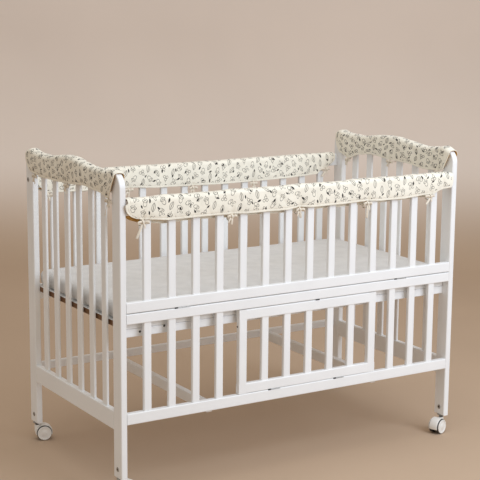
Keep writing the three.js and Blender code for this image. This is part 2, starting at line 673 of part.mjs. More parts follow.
for (const side of Object.keys(COVERS)) {
  const { ties, tieSide } = COVERS[side];
  const bowOutside = tieSide === 'outer';
  ties.forEach((at, index) => {
    const near = hemAt(side, at, tieSide);
    const far = hemAt(side, at, bowOutside ? 'inner' : 'outer');
    const geometry = tie(near.out, far.out, far.height - near.height, TIE_SHAPES[index]);
    const origin = PLACE[side](at, 0, near.height);
    const outDirection = PLACE[side](at, bowOutside ? 1 : -1, near.height).sub(origin);
    const upDirection = new THREE.Vector3(0, 0, 1);
    const alongDirection = outDirection.clone().cross(upDirection);
    geometry.applyMatrix4(new THREE.Matrix4().makeBasis(alongDirection, outDirection, upDirection));
    geometry.translate(origin.x, origin.y, origin.z);
    add(`tie_${side}_${index + 1}`, geometry, 'tie');
  });
}

export default crib;
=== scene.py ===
"""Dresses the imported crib: printed covers tied over its four top rails, and its mattress, casters, fittings
and paint.
"""
import math
from collections import namedtuple

import bmesh
import bpy
import numpy as np
from bpy.props import FloatProperty, FloatVectorProperty, PointerProperty
from mathutils import Matrix, Vector


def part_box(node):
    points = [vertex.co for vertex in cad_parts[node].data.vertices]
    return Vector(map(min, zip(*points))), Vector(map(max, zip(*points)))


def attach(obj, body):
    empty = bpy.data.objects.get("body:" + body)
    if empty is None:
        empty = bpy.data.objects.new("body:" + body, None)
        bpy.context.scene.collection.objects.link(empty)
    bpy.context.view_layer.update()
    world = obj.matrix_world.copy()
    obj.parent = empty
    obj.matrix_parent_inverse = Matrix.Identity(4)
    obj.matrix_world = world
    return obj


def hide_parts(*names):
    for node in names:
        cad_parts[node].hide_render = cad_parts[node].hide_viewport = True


bl_info = {
    "name": "Crib rail covers",
    "version": (1, 0, 0),
    "blender": (4, 5, 0),
    "location": "3D View > Sidebar > Rail covers",
    "description": "Sews four printed rail covers over a crib's rails and finishes the crib under them",
    "category": "Add Mesh",
}

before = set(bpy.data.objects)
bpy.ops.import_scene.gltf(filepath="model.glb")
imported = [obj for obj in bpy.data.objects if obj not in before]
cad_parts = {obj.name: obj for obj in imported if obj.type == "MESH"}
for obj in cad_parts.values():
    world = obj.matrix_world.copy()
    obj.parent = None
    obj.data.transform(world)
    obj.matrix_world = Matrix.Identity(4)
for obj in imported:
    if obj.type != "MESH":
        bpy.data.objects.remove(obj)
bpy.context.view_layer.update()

# Shapes are worked out in millimetres and turned to metres when their mesh is made
MM = 0.001

# The crib's sizes, measured from its left front corner as its maker would
LENGTH = 1240
WIDTH = 665
BOARD = 20
POST_WIDE = 50
POST_TOP = 970
POST_ARCH = 45
SIDE_RAIL_TOP = {"front": 890.5, "back": 886.5}
END_RAIL = {"shoulder": 967, "dip": 962, "crown": 977, "crown_reach": 185}
SLATS = 14  # in each long side
SLAT_PITCH = 81.5
ORIGIN = np.array([-LENGTH / 2, -WIDTH / 2, 0.0])
# How the names of the wooden nodes start
WOODEN = ("post", "end_panel", "side", "rail", "gate", "lower_slat", "deck", "beam")

# The rounded top of a cover: half its width, and how far it curves down before the flaps hang straight
SHOULDER = {"out": 17.5, "drop": 13, "fullness": 2.6}
LIE = 0.6  # the lining above the rail where it lies on it
OFF_POST = 0.22  # slope at which a strip comes down from a post's top to the rail
OVER_ARCH = 0.25  # slope at which the stiff strip bridges a post's falling arch
FLARE = {"front": 8}  # how far the outer flap spreads over the post at its start

# Distances from a free edge at which a strip's grid is drawn close, and the even spacing past them along it
EDGE_STEPS = np.array([0, 0.5, 1.1, 2, 3.2, 4.4, 5.3, 6, 6.5, 7, 7.7, 8.8, 10.5, 13])
GRID_STEP = 4.2
FLAP = 62  # usual depth of a flap

# The flat hem: thickness at its edge and inside it, and the size of its edge's rounding and of its stitches
HEM = {"edge": 0.6, "thick": 2.6, "round": 1.3, "groove": 0.95, "groove_half": 0.9}
# The trough that a tie draws up from the hem, with a ridge at each side, and the small puckers across it
GATHER = {"half": 7, "trough": 2.2, "ridge": 1.5, "ridge_at": 1.9, "fade": 26}
PUCKER = {"high": 0.7, "wave": 4.1, "reach": 17, "fade": 12}
# The strips' soft unevenness: wave length along and across, slant and height of each wave
UNEVEN = [(61, 40, 0.35, 0.3), (27, 33, -0.9, 0.22), (113, 71, 1.7, 0.45), (17, 21, 2.2, 0.12)]
# How far the front cover's cream band on the rail side, where no shade is painted, runs out towards its ends
# so that the painted shade reaches their edges, and over what distance
BAND_RUNS_OUT = {"front": 14}
BAND_FADE = 62
CLOTH_APART = 1500  # between the covers' places on the printed cloth, so that no two show the same part
END_STRETCH = 1.45  # how much longer the print is along the rail on the two end covers

# One row for each fold or tie. at: place along the rail; lift: how far the strip stands off the rail;
# outer and inner: heights of the two hems; puff: how far the flaps swell; pull: how far the hem is drawn in.
Row = namedtuple("Row", "at lift outer inner puff pull")

# A soft trough pressed into the cloth. at: place along the rail; over: place across the strip from its top
# line towards the inner hem; lean: its turn from straight across, in degrees; reach, wide, deep: half sizes.
Crease = namedtuple("Crease", "at over lean reach wide deep")

# One cover. outer_cuts and inner_cuts: how far its start and end lie in from its top line's at each hem;
# corner_powers: how late they draw in on their way down; tie_side: the hem that the bows are tied at;
# ties: the bows' places along the rail.
Cover = namedtuple("Cover", "outer_cuts inner_cuts corner_powers tie_side ties rows creases")

COVERS = {
    "front": Cover((30, 8), (24, 8), (5, 5), "outer", (72, 370, 613, 872, 1128), [
        Row(22.5, 2.5, 838, 829, 0.5, 1),
        Row(72, 0.5, 834, 822, 1.5, 4.5),
        Row(160, 3, 826.5, 811.5, 0.5, 0),
        Row(250, 0.5, 827.5, 815, 1.5, 0.5),
        Row(370, 2.5, 826.5, 812, 0.5, 4.5),
        Row(430, 1.5, 824, 812, 1, 1),
        Row(480, 0.5, 824.5, 812, 2, 0),
        Row(560, 1, 823.5, 810, 1, 1),
        Row(613, 2, 828, 812, 0.5, 4.5),
        Row(665, 1, 825, 812, 1, 1),
        Row(740, 0, 825.5, 812, 1.5, 0),
        Row(872, 2.5, 827, 811, 0.5, 4.5),
        Row(930, 1.5, 824.5, 812, 1, 1),
        Row(1000, 0.5, 824.5, 814, 1.5, 0),
        Row(1128, 2, 830, 818, 0.5, 4.5),
        Row(1185, 1.5, 845, 837, 0.5, 1),
        Row(1217.5, 1, 847, 841, 0.5, 1),
    ], [
        Crease(90, -58, 5, 24, 5, 1.4),
        Crease(196, -42, 24, 36, 8, 1.1),
        Crease(286, -60, -36, 26, 6, 1.0),
        Crease(424, -44, 30, 36, 8, 1.2),
        Crease(548, -50, -44, 34, 6, 1.5),
        Crease(671, -50, 3, 30, 5, 1.3),
        Crease(792, -46, 38, 38, 8, 1.1),
        Crease(940, -56, -28, 30, 7, 1.2),
        Crease(1058, -42, 34, 34, 7, 1.2),
        Crease(1176, -48, -18, 28, 6, 1.2),
        Crease(330, 6, 70, 46, 9, 0.9),
        Crease(730, -4, 76, 60, 10, 0.9),
        Crease(1010, 8, 66, 44, 9, 0.9),
    ]),
    "back": Cover((22, 22), (22, 22), (2.5, 2.5), "inner", (64, 358, 606, 853, 1169), [
        Row(24, 1, 832, 838, 0.5, 1),
        Row(64, 2, 822, 826, 1.5, 4.5),
        Row(200, 0, 816, 824, 0.5, 0),
        Row(358, 1.5, 818, 821, 1.5, 4.5),
        Row(480, 0.5, 820, 815, 0.5, 0),
        Row(606, 1, 822, 812, 2, 4.5),
        Row(720, 0, 824, 810, 0.5, 0),
        Row(853, 1.5, 823, 810, 1.5, 4.5),
        Row(970, 0.5, 820, 812, 0.5, 0),
        Row(1060, 2, 818, 815, 1.5, 0.5),
        Row(1120, 0.5, 822, 818, 0.5, 1),
        Row(1154, 1, 836, 838, 1, 3),
        Row(1169, 2, 838, 840, 1.5, 4.5),
        Row(1204, 1, 848, 850, 0.5, 1),
    ], [
        Crease(120, 52, -20, 30, 7, 1.2),
        Crease(262, 46, 34, 34, 8, 1.1),
        Crease(420, 56, -32, 30, 7, 1.1),
        Crease(540, 44, 26, 34, 8, 1.1),
        Crease(700, 52, -38, 32, 7, 1.2),
        Crease(790, 46, 12, 30, 7, 1.1),
        Crease(930, 54, 36, 32, 8, 1.1),
        Crease(1092, 44, -26, 28, 6, 1.6),
        Crease(1140, 40, 20, 22, 6, 1.8),
        Crease(640, -50, 28, 34, 8, 1.1),
        Crease(250, -48, -24, 34, 8, 1.1),
    ]),
    "left": Cover((34, 34), (26, 28), (1.1, 2.5), "outer", (62, 345, 586), [
        Row(21, 2, 896, 900, 0.5, 1),
        Row(62, 1, 892, 896, 1.5, 4),
        Row(130, 2, 904, 903, 0.5, 0),
        Row(220, 0.5, 909, 905, 1.5, 0),
        Row(345, 2.5, 899, 899, 0.5, 4),
        Row(450, 0, 897, 903, 1.5, 0),
        Row(540, 0.5, 896, 902, 0.5, 0.5),
        Row(586, 1, 900, 896, 1.5, 4),
        Row(650, 2.5, 904, 905, 0.5, 1),
    ], [
        Crease(100, -48, -24, 26, 7, 1.3),
        Crease(176, -44, 30, 30, 8, 1.1),
        Crease(286, -50, -30, 28, 7, 1.1),
        Crease(402, -44, 34, 30, 8, 1.2),
        Crease(508, -50, -20, 26, 7, 1.1),
        Crease(330, 46, 24, 30, 8, 1.1),
    ]),
    "right": Cover((26, 22), (28, 22), (1.1, 2.5), "inner", (66, 328, 574), [
        Row(12, 1, 904, 901, 0.5, 1),
        Row(66, 2, 898, 894, 1.5, 4),
        Row(140, 0, 905, 891, 0.5, 0),
        Row(237, 2, 906, 900, 1.5, 0),
        Row(328, 0.5, 899, 901, 0.5, 4),
        Row(439, 1, 904, 908, 1.5, 0),
        Row(495, 0, 903, 900, 0.5, 0),
        Row(574, 1, 897, 881, 1.5, 4),
        Row(646, 2, 904, 896, 0.5, 1),
    ], [
        Crease(104, 48, 22, 28, 7, 1.3),
        Crease(196, 44, -32, 30, 8, 1.1),
        Crease(286, 50, 30, 26, 7, 1.2),
        Crease(380, 42, -24, 28, 7, 1.2),
        Crease(500, 46, 28, 28, 7, 1.5),
        Crease(546, 44, -8, 24, 6, 1.5),
        Crease(300, -46, -22, 30, 8, 1.1),
    ]),
}

# One row for each tie in turn: reach and droop of its loops, and the length and lean of its two ends
Bow = namedtuple("Bow", "left right droop end_a lean_a end_b lean_b")
BOWS = [
    Bow(20, 18, 3, 46, 22, 18, -7),
    Bow(16, 17, 1, 24, 3, 18, 12),
    Bow(17, 14, 4, 26, -2, 20, 9),
    Bow(15, 16, 2, 46, 4, 22, -8),
    Bow(13, 25, -1, 24, 20, 18, -3),
]
KNOT_UNDER = 7.5  # the knot's middle below the hem that the bow is tied at
# A ribbon: half its width, half its thickness and its cupping, then its half width in the knot, how much
# it grows from there, and over what distance
RIBBON = {"half": 3.4, "thick": 0.5, "cup": 0.7, "neck": 1.6, "grows": 2.4, "over": 9}

CASTER = {"radius": 25, "half_width": 21, "wheel": 15, "trail": 22, "top": 61.7}
# x and y of the stem, and the way the wheels trail, in degrees from +X
CASTERS = {
    "front_left": (10, 25, 20),
    "front_right": (1230, 25, 198),
    "back_left": (10, 640, -16),
    "back_right": (1230, 640, 160),
}


def linear(hex_colour):
    """Turns an sRGB hex colour into the linear red, green and blue that Blender works in."""
    channels = [int(hex_colour[place:place + 2], 16) / 255 for place in (1, 3, 5)]
    return [c / 12.92 if c <= 0.04045 else ((c + 0.055) / 1.055) ** 2.4 for c in channels]


def colour_setting(name, hex_colour, description):
    """A colour that a user can change, given as sRGB hex."""
    return FloatVectorProperty(
        name=name, description=description, subtype="COLOR", size=3, min=0, max=1, default=linear(hex_colour))


def length_setting(name, millimetres, description):
    """A length that a user can change, given in millimetres."""
    return FloatProperty(
        name=name, description=description, default=millimetres * MM, min=0,
        unit="LENGTH", subtype="DISTANCE")


def number_setting(name, value, description, least=0.0):
    """A plain number that a user can change."""
    return FloatProperty(name=name, description=description, default=value, min=least)


class CoverSettings(bpy.types.PropertyGroup):
    """The covers' cloth, hem and print."""

    padding: length_setting("Padding", 5, "Thickness of the padded strip between its hems")
    hem: length_setting("Hem", 6.5, "Width of the flat hem outside its line of stitches")
    # Width of the cream band at each hem of the rail side, where the painted shade stops
    unshaded_band: length_setting("Facing", 9, "Width that the printed cotton is turned in over the lining")
    ground: colour_setting("Ground", "#F6F1E2", "The cotton's own colour")
    outline: colour_setting("Outlines", "#77736A", "The thin drawn outlines of the print")
    mark: colour_setting("Marks", "#2A2726", "The small dark leaf marks of the print")
    # Painted shade: the ochre of the covers' rail side and of the end covers' rims stands for the warm shade
    # and light through the cloth inside and under the covers
    rail_side_painted_shade: colour_setting("Lining", "#CE9F58", "The plain cloth on the rail side")
    tie: colour_setting("Ties", "#EDE3D2", "The ribbon of the ties")
    motif_pitch: length_setting("Motif spacing", 31, "Space given to each outlined motif")
    mark_pitch: length_setting("Mark spacing", 36, "Space given to each dark leaf mark")
    end_print: number_setting("End print", 0.78, "Size of the end covers' print against the long ones'", 0.2)


class CribSettings(bpy.types.PropertyGroup):
    """The crib's finishes."""

    paint: colour_setting("Paint", "#F3F4F4", "Satin lacquer on every wooden part")
    mattress: colour_setting("Mattress", "#DCDAD7", "The cover of the mattress")
    wheel: colour_setting("Wheels", "#EFEDE8", "Moulded discs and hoods of the casters")
    neck: colour_setting("Caster necks", "#3A3735", "Dark plastic of the casters' necks and treads")


class StudioSettings(bpy.types.PropertyGroup):
    """The floor and the light."""

    floor: colour_setting("Floor", "#BFA78F", "The plain floor")
    backdrop: colour_setting("Backdrop", "#EFE2D7", "The wall that the floor curves up into")
    window: number_setting("Window", 61, "Watts of the large light at the front")
    ceiling: number_setting("Ceiling", 40, "Watts of the soft light overhead")
    room: number_setting("Room light", 0.56, "Strength of the light from all round")


class RailCoverSettings(bpy.types.PropertyGroup):
    """All settings together."""

    cover: PointerProperty(type=CoverSettings)
    crib: PointerProperty(type=CribSettings)
    studio: PointerProperty(type=StudioSettings)


# Meshes

def mesh_object(name, points, faces, materials, smooth=True):
    """Makes an object at the origin from points in millimetres from the crib's left front corner."""
    mesh = bpy.data.meshes.new(name)
    mesh.from_pydata(((points + ORIGIN) * MM).tolist(), [], [list(face) for face in faces])
    mesh.polygons.foreach_set("use_smooth", np.full(len(mesh.polygons), smooth))
    for material in materials:
        mesh.materials.append(material)
    mesh.validate()
    made = bpy.data.objects.new(name, mesh)
    bpy.context.scene.collection.objects.link(made)
    return made


def join_parts(parts):
    """Stacks (points, faces) pairs into one, moving each part's face numbers up behind the ones before it."""
    starts = np.cumsum([0] + [len(points) for points, _ in parts[:-1]])
    points = np.concatenate([points for points, _ in parts])
    faces = []
    for start, (_, part) in zip(starts, parts):
        faces.extend([int(corner) + int(start) for corner in face] for face in part)
    return points, faces


def tube_faces(rings, sides, closed=False):
    """Quads between rings of points, with a flat face at each end, or running round again if closed."""
    ring = np.arange(rings if closed else rings - 1)[:, None]
    side = np.arange(sides)[None, :]
    following = (ring + 1) % rings
    turned = (side + 1) % sides
    quads = np.stack(np.broadcast_arrays(
        ring * sides + side, ring * sides + turned, following * sides + turned, following * sides + side), -1)
    faces = quads.reshape(-1, 4).tolist()
    if not closed:
        faces.append(list(range(sides))[::-1])
        faces.append([(rings - 1) * sides + corner for corner in range(sides)])
    return faces


def unit(vectors):
    """Each vector along the last axis at length one."""
    return vectors / np.maximum(np.linalg.norm(vectors, axis=-1, keepdims=True), 1e-9)


def face_outwards(piece, merged=True):
    """Turns the faces of each closed shell so that they point out of it, after its doubles are merged.

    A piece of several shells that touch is left unmerged.
    """
    edited = bmesh.new()
    edited.from_mesh(piece.data)
    if merged:
        bmesh.ops.remove_doubles(edited, verts=edited.verts, dist=0.01 * MM)
    bmesh.ops.recalc_face_normals(edited, faces=edited.faces)
    edited.to_mesh(piece.data)
    edited.free()


def smooth_path(corners, steps):
    """A centripetal Catmull-Rom curve through each corner, its knots spaced by the root of the distance."""
    corners = np.asarray(corners, float)
    before = 2 * corners[0] - corners[1]
    after = 2 * corners[-1] - corners[-2]
    held = np.vstack([before, corners, after])
    knots = np.concatenate([[0], np.cumsum(np.linalg.norm(np.diff(held, axis=0), axis=1) ** 0.5)])
    times = np.linspace(knots[1], knots[-2], steps)
    span = np.clip(np.searchsorted(knots, times, "right") - 1, 1, len(corners) - 1)
    p = [held[span + shift] for shift in (-1, 0, 1, 2)]
    k = [knots[span + shift] for shift in (-1, 0, 1, 2)]

    def between(low, high, t_low, t_high):
        """Blends two points by how far each time lies between two knots."""
        share = ((times - t_low) / (t_high - t_low))[:, None]
        return low * (1 - share) + high * share

    a = [between(p[i], p[i + 1], k[i], k[i + 1]) for i in range(3)]
    b = [between(a[i], a[i + 1], k[i], k[i + 2]) for i in range(2)]
    return between(b[0], b[1], k[1], k[2])


# Materials

def node(tree, kind, inputs=(), out=0, **settings):
    """Adds a shader node, sets it, fills its sockets with values or links, and gives the output asked for."""
    made = tree.nodes.new("ShaderNode" + kind)
    for key, value in settings.items():
        setattr(made, key, value)
    for key, value in (inputs.items() if isinstance(inputs, dict) else enumerate(inputs)):
        if isinstance(value, bpy.types.NodeSocket):
            tree.links.new(value, made.inputs[key])
        else:
            made.inputs[key].default_value = value
    return made.outputs if out is None else made.outputs[out]


def rgba(colour):
    """A linear colour with full alpha, as a colour socket takes it."""
    return (*colour, 1.0)


def new_material(name):
    """An empty node material."""
    material = bpy.data.materials.new(name)
    material.use_nodes = True
    material.node_tree.nodes.clear()
    return material, material.node_tree


def surface(tree, **sockets):
    """Ends a material with a Principled surface. Socket names are written with underscores for spaces."""
    shader = node(tree, "BsdfPrincipled", {key.replace("_", " "): value for key, value in sockets.items()})
    node(tree, "OutputMaterial", {"Surface": shader}, out=None)


def toned(tree, colour, noise, darkest, lightest, low=0.3, high=0.7):
    """A colour times a brightness that follows a noise, from its low to its high."""
    tone = node(tree, "MapRange", [noise, low, high, darkest, lightest])
    return node(tree, "VectorMath", {0: colour, "Scale": tone}, operation="SCALE")


def lacquered_wood(colour):
    """Satin white lacquer sprayed on beech: even, with faint orange peel and grain that just shows."""
    material, tree = new_material("satin_lacquer_on_beech")
    place = node(tree, "TexCoord", out="Object")
    # Pores 2.4 mm apart and 40 mm long, a ripple of 4 mm in the lacquer, and clouds 110 mm wide
    grain_place = node(tree, "Mapping", {"Vector": place, "Scale": (420, 420, 26)})
    grain = node(tree, "TexNoise", {"Vector": grain_place, "Scale": 1.0, "Detail": 3.0}, out="Fac")
    peel = node(tree, "TexNoise", {"Vector": place, "Scale": 260.0, "Detail": 1.0}, out="Fac")
    patches = node(tree, "TexNoise", {"Vector": place, "Scale": 9.0, "Detail": 2.0}, out="Fac")
    tinted = toned(tree, colour, patches, 0.965, 1.0)
    roughness = node(tree, "MapRange", [patches, 0.3, 0.7, 0.36, 0.46])
    grain_bump = node(tree, "Bump", {"Height": grain, "Strength": 0.25, "Distance": 0.12 * MM})
    bump = node(tree, "Bump", {"Height": peel, "Strength": 0.3, "Distance": 0.15 * MM, "Normal": grain_bump})
    surface(tree, Base_Color=tinted, Roughness=roughness, IOR=1.5, Coat_Weight=0.15, Coat_Roughness=0.3,
            Normal=bump)
    return material


def deck_with_painted_bounce(colour):
    """The deck's lacquer, with its two ends painted brown in thin layers: painted light that stands for the
    warm light bounced onto the deck's shaded ends.
    """
    material, tree = new_material("lacquer_with_painted_bounce_ends")
    place = node(tree, "TexCoord", out="Object")
    ways = node(tree, "SeparateXYZ", [place], out=None)
    ply = 1.4 * MM
    layers = node(tree, "Math", [ways["Z"], math.pi / ply], operation="MULTIPLY")
    wave = node(tree, "Math", [layers], operation="SINE")
    grain = node(tree, "TexNoise", {"Vector": place, "Scale": 600.0, "Detail": 2.0}, out="Fac")  # 1.7 mm
    shade = node(tree, "Math", [wave, 0.16, grain], operation="MULTIPLY_ADD")
    # Painted bounce light: a warm brown in layers for the deck's shaded ends
    bounce_brown = toned(tree, linear("#7A5638"), shade, 0.72, 1.1)
    from_middle = node(tree, "Math", [ways["X"]], operation="ABSOLUTE")
    at_end = node(tree, "Math", [from_middle, (LENGTH / 2 - BOARD - 1) * MM], operation="GREATER_THAN")
    tinted = node(tree, "Mix", {0: at_end, 6: rgba(colour), 7: bounce_brown}, out=2, data_type="RGBA")
    roughness = node(tree, "MapRange", [at_end, 0.0, 1.0, 0.42, 0.75])
    bump = node(tree, "Bump", {"Height": grain, "Strength": 0.3, "Distance": 0.15 * MM})
    surface(tree, Base_Color=tinted, Roughness=roughness, IOR=1.5, Normal=bump)
    return material


def scattered(tree, place, pitch, wander, turn, spin, seed):
    """Gives each square of a grid its own shift and turn.

    Returns the place seen from the motif, and two random numbers. The grid is turned by the spin, and each of
    its rows is slid a little further than the last, so no rows show. The square's number goes into a white
    noise, whose three values shift the motif, turn it and choose its kind.
    """
    slide = 0.38 * pitch
    spun = node(tree, "VectorRotate", {"Vector": place, "Angle": spin}, rotation_type="Z_AXIS")
    ways = node(tree, "SeparateXYZ", [spun], out=None)
    row = node(tree, "Math", [node(tree, "Math", [ways["Y"], pitch], operation="DIVIDE")], operation="FLOOR")
    slid = node(tree, "Math", [row, slide, ways["X"]], operation="MULTIPLY_ADD")
    laid = node(tree, "CombineXYZ", [slid, ways["Y"], 0.0])
    steps = (pitch, pitch, 1.0)
    counted = node(tree, "VectorMath", [laid, steps], operation="DIVIDE")
    square = node(tree, "VectorMath", [counted], operation="FLOOR")
    seeded = node(tree, "VectorMath", [square, (0.0, 0.0, seed)], operation="ADD")
    chance = node(tree, "TexWhiteNoise", {"Vector": seeded}, out="Color", noise_dimensions="3D")
    middle = node(tree, "VectorMath", [square, steps, (pitch / 2, pitch / 2, 0.0)], operation="MULTIPLY_ADD")
    shift = node(tree, "VectorMath", [chance, (wander, wander, 0.0), (-wander / 2, -wander / 2, 0.0)],
                 operation="MULTIPLY_ADD")
    centre = node(tree, "VectorMath", [middle, shift], operation="ADD")
    away = node(tree, "VectorMath", [laid, centre], operation="SUBTRACT")
    other_chance = node(tree, "TexWhiteNoise", {"Vector": chance}, out="Color", noise_dimensions="3D")
    turns = node(tree, "SeparateXYZ", [other_chance], out=None)
    angle = node(tree, "MapRange", [turns["X"], 0.0, 1.0, -turn - spin, turn - spin])
    seen = node(tree, "VectorRotate", {"Vector": away, "Angle": angle}, rotation_type="Z_AXIS")
    flat = node(tree, "VectorMath", [seen, (1.0, 1.0, 0.0)], operation="MULTIPLY")
    return flat, turns["Y"], turns["Z"]


def leaf_edge(tree, place, half_long, half_wide):
    """Distance outside a leaf whose two sides are arcs that meet in points."""
    radius = (half_long ** 2 + half_wide ** 2) / (2 * half_wide)
    folded = node(tree, "VectorMath", [place], operation="ABSOLUTE")
    moved = node(tree, "VectorMath", [folded, (radius - half_wide, 0.0, 0.0)], operation="ADD")
    reach = node(tree, "VectorMath", [moved], out="Value", operation="LENGTH")
    return node(tree, "Math", [reach, radius], operation="SUBTRACT")


def oval_edge(tree, place, middle, radii):
    """Distance outside an oval, near enough for a thin line."""
    moved = node(tree, "VectorMath", [place, (*middle, 0.0)], operation="SUBTRACT")
    scaled = node(tree, "VectorMath", [moved, (*radii, 1.0)], operation="DIVIDE")
    reach = node(tree, "VectorMath", [scaled], out="Value", operation="LENGTH")
    mean = sum(radii) / 2
    return node(tree, "Math", [reach, mean, -mean], operation="MULTIPLY_ADD")


def pen_line(tree, distance, half_wide):
    """One on the line where a distance is nought, fading to nought past its half width."""
    away = node(tree, "Math", [distance], operation="ABSOLUTE")
    return node(tree, "MapRange", [away, half_wide * 0.7, half_wide * 1.3, 1.0, 0.0],
                interpolation_type="SMOOTHSTEP")


def strongest(tree, *masks):
    """The largest of several masks."""
    joined = masks[0]
    for mask in masks[1:]:
        joined = node(tree, "Math", [joined, mask], operation="MAXIMUM")
    return joined


def woodland_outlines(tree, place, pitch, pen):
    """Pen drawings, one in each square: a leaf with its rib, an acorn, two toadstools or three berries."""
    seen, kind, _ = scattered(tree, place, pitch, 4.5, 0.7, 0.52, 3.0)
    fine = 0.8 * pen
    leaf = pen_line(tree, leaf_edge(tree, seen, 12.5, 5.5), pen)
    rib = pen_line(tree, leaf_edge(tree, seen, 9.0, 0.5), fine)
    leaf = strongest(tree, leaf, rib)
    nut = oval_edge(tree, seen, (0.0, -3.0), (5.6, 8.6))
    cup = oval_edge(tree, seen, (0.0, 4.6), (7.8, 4.6))
    acorn = strongest(tree, pen_line(tree, nut, pen), pen_line(tree, cup, pen),
                      pen_line(tree, oval_edge(tree, seen, (0.6, 11.4), (0.9, 2.6)), fine))
    cap = oval_edge(tree, seen, (-1.5, 4.4), (9.2, 5.6))
    foot = oval_edge(tree, seen, (-1.5, -5.2), (3.3, 7.0))
    spot = oval_edge(tree, seen, (1.6, 5.4), (1.9, 1.4))
    small = oval_edge(tree, seen, (8.4, -5.6), (4.2, 2.6))
    toadstool = strongest(tree, pen_line(tree, cap, pen), pen_line(tree, foot, pen),
                          pen_line(tree, spot, fine), pen_line(tree, small, fine))
    berries = strongest(tree, *[pen_line(tree, oval_edge(tree, seen, middle, (4.2, 4.2)), pen)
                                for middle in ((-5.2, -4.6), (5.4, -3.2), (0.4, 4.8))],
                        pen_line(tree, oval_edge(tree, seen, (0.8, 11.4), (0.9, 2.4)), fine))
    drawing = leaf
    for least, other in ((0.26, acorn), (0.5, toadstool), (0.78, berries)):
        above = node(tree, "Math", [kind, least], operation="GREATER_THAN")
        drawing = node(tree, "Mix", {0: above, 2: drawing, 3: other})
    return drawing


def leaf_marks(tree, place, pitch):
    """Small solid leaves, one in most squares, at every turn."""
    seen, kept, size = scattered(tree, place, pitch, 17.0, 1.2, -0.44, 11.0)
    scale = node(tree, "MapRange", [size, 0.0, 1.0, 1.15, 0.85])
    grown = node(tree, "VectorMath", {0: seen, "Scale": scale}, operation="SCALE")
    inside = node(tree, "MapRange", [leaf_edge(tree, grown, 6.4, 2.6), -0.3, 0.3, 1.0, 0.0])
    present = node(tree, "Math", [kept, 0.88], operation="LESS_THAN")
    return node(tree, "Math", [inside, present], operation="MULTIPLY")


def weave_height(tree, place, thread):
    """Plain weave: one wave along each way of the cloth, multiplied, so that threads pass over and under."""
    turned = 2 * math.pi / thread
    ways = node(tree, "SeparateXYZ", [place], out=None)
    waves = []
    for way in ("X", "Y"):
        run = node(tree, "Math", [ways[way], turned], operation="MULTIPLY")
        waves.append(node(tree, "Math", [run], operation="SINE"))
    return node(tree, "Math", waves, operation="MULTIPLY")


def cloth_place(tree):
    """The place on the flat cloth in millimetres, from the piece's own map."""
    flat = node(tree, "UVMap", out="UV", uv_map="cloth")
    return node(tree, "VectorMath", {0: flat, "Scale": 1 / MM}, operation="SCALE")


def printed_cotton(name, settings, size, long):
    """Cream cotton, plain woven and screen printed: soft and matt, with charcoal marks and thin pen lines.

    The print is drawn at a size, and is longer along the rail by the last number.
    """
    material, tree = new_material(name)
    place = cloth_place(tree)
    drawn_at = node(tree, "VectorMath", [place, (size * long, size, 1.0)], operation="DIVIDE")
    edge = node(tree, "Attribute", out="Fac", attribute_name="edge")
    outlines = woodland_outlines(tree, drawn_at, settings.motif_pitch / MM, 0.75 / size)
    marks = leaf_marks(tree, drawn_at, settings.mark_pitch / MM)
    printed = node(tree, "MapRange", [edge, settings.hem, settings.hem + 1.2 * MM, 0.0, 1.0])
    clouds = node(tree, "TexNoise", {"Vector": place, "Scale": 0.018, "Detail": 2.0}, out="Fac")  # 55 mm
    ground = toned(tree, settings.ground, clouds, 0.95, 1.02)
    drawn = node(tree, "Math", [outlines, printed], operation="MULTIPLY")
    inked = node(tree, "Math", [marks, printed], operation="MULTIPLY")
    with_lines = node(tree, "Mix", {0: drawn, 6: ground, 7: rgba(settings.outline)}, out=2, data_type="RGBA")
    colour = node(tree, "Mix", {0: inked, 6: with_lines, 7: rgba(settings.mark)}, out=2, data_type="RGBA")
    weave = weave_height(tree, place, 1.4)  # twice the real thread's spacing, so that it shows
    # Rumples 11 mm wide
    crumple = node(tree, "TexNoise", {"Vector": place, "Scale": 0.09, "Detail": 3.0}, out="Fac")
    crumpled = node(tree, "Bump", {"Height": crumple, "Strength": 0.5, "Distance": 1.6 * MM})
    bump = node(tree, "Bump", {"Height": weave, "Strength": 0.5, "Distance": 0.12 * MM, "Normal": crumpled})
    surface(tree, Base_Color=colour, Roughness=0.92, Sheen_Weight=0.18, Sheen_Roughness=0.5, IOR=1.5,
            Specular_IOR_Level=0.25, Normal=bump)
    return material


def plain_cloth(name, colour, thread, rumple, depth, unshaded_band=None):
    """Plain cloth of one colour: its threads, its rumples, and a slight change of tone between them.

    An unshaded band is a colour and a width: within that width of the hem the cloth takes that colour in
    place of its own, which on the rail side is painted shade.
    """
    material, tree = new_material(name)
    place = cloth_place(tree)
    clouds = node(tree, "TexNoise", {"Vector": place, "Scale": 1 / rumple, "Detail": 3.0}, out="Fac")
    tinted = toned(tree, colour, clouds, 0.93, 1.03)
    # Within the band at the hem, the painted shade gives way to the cloth's cream
    if unshaded_band:
        band_colour, wide = unshaded_band
        hem = node(tree, "Attribute", out="Fac", attribute_name="hem")
        past = node(tree, "MapRange", [hem, wide - 0.5 * MM, wide + 0.5 * MM, 0.0, 1.0])
        unshaded_tint = toned(tree, band_colour, clouds, 0.93, 1.03)
        tinted = node(tree, "Mix", {0: past, 6: unshaded_tint, 7: tinted}, out=2, data_type="RGBA")
    crumpled = node(tree, "Bump", {"Height": clouds, "Strength": 0.5, "Distance": depth * MM})
    weave = weave_height(tree, place, thread)
    bump = node(tree, "Bump", {"Height": weave, "Strength": 0.5, "Distance": 0.12 * MM, "Normal": crumpled})
    surface(tree, Base_Color=tinted, Roughness=0.9, Sheen_Weight=0.15, Sheen_Roughness=0.5, IOR=1.5,
            Specular_IOR_Level=0.25, Normal=bump)
    return material


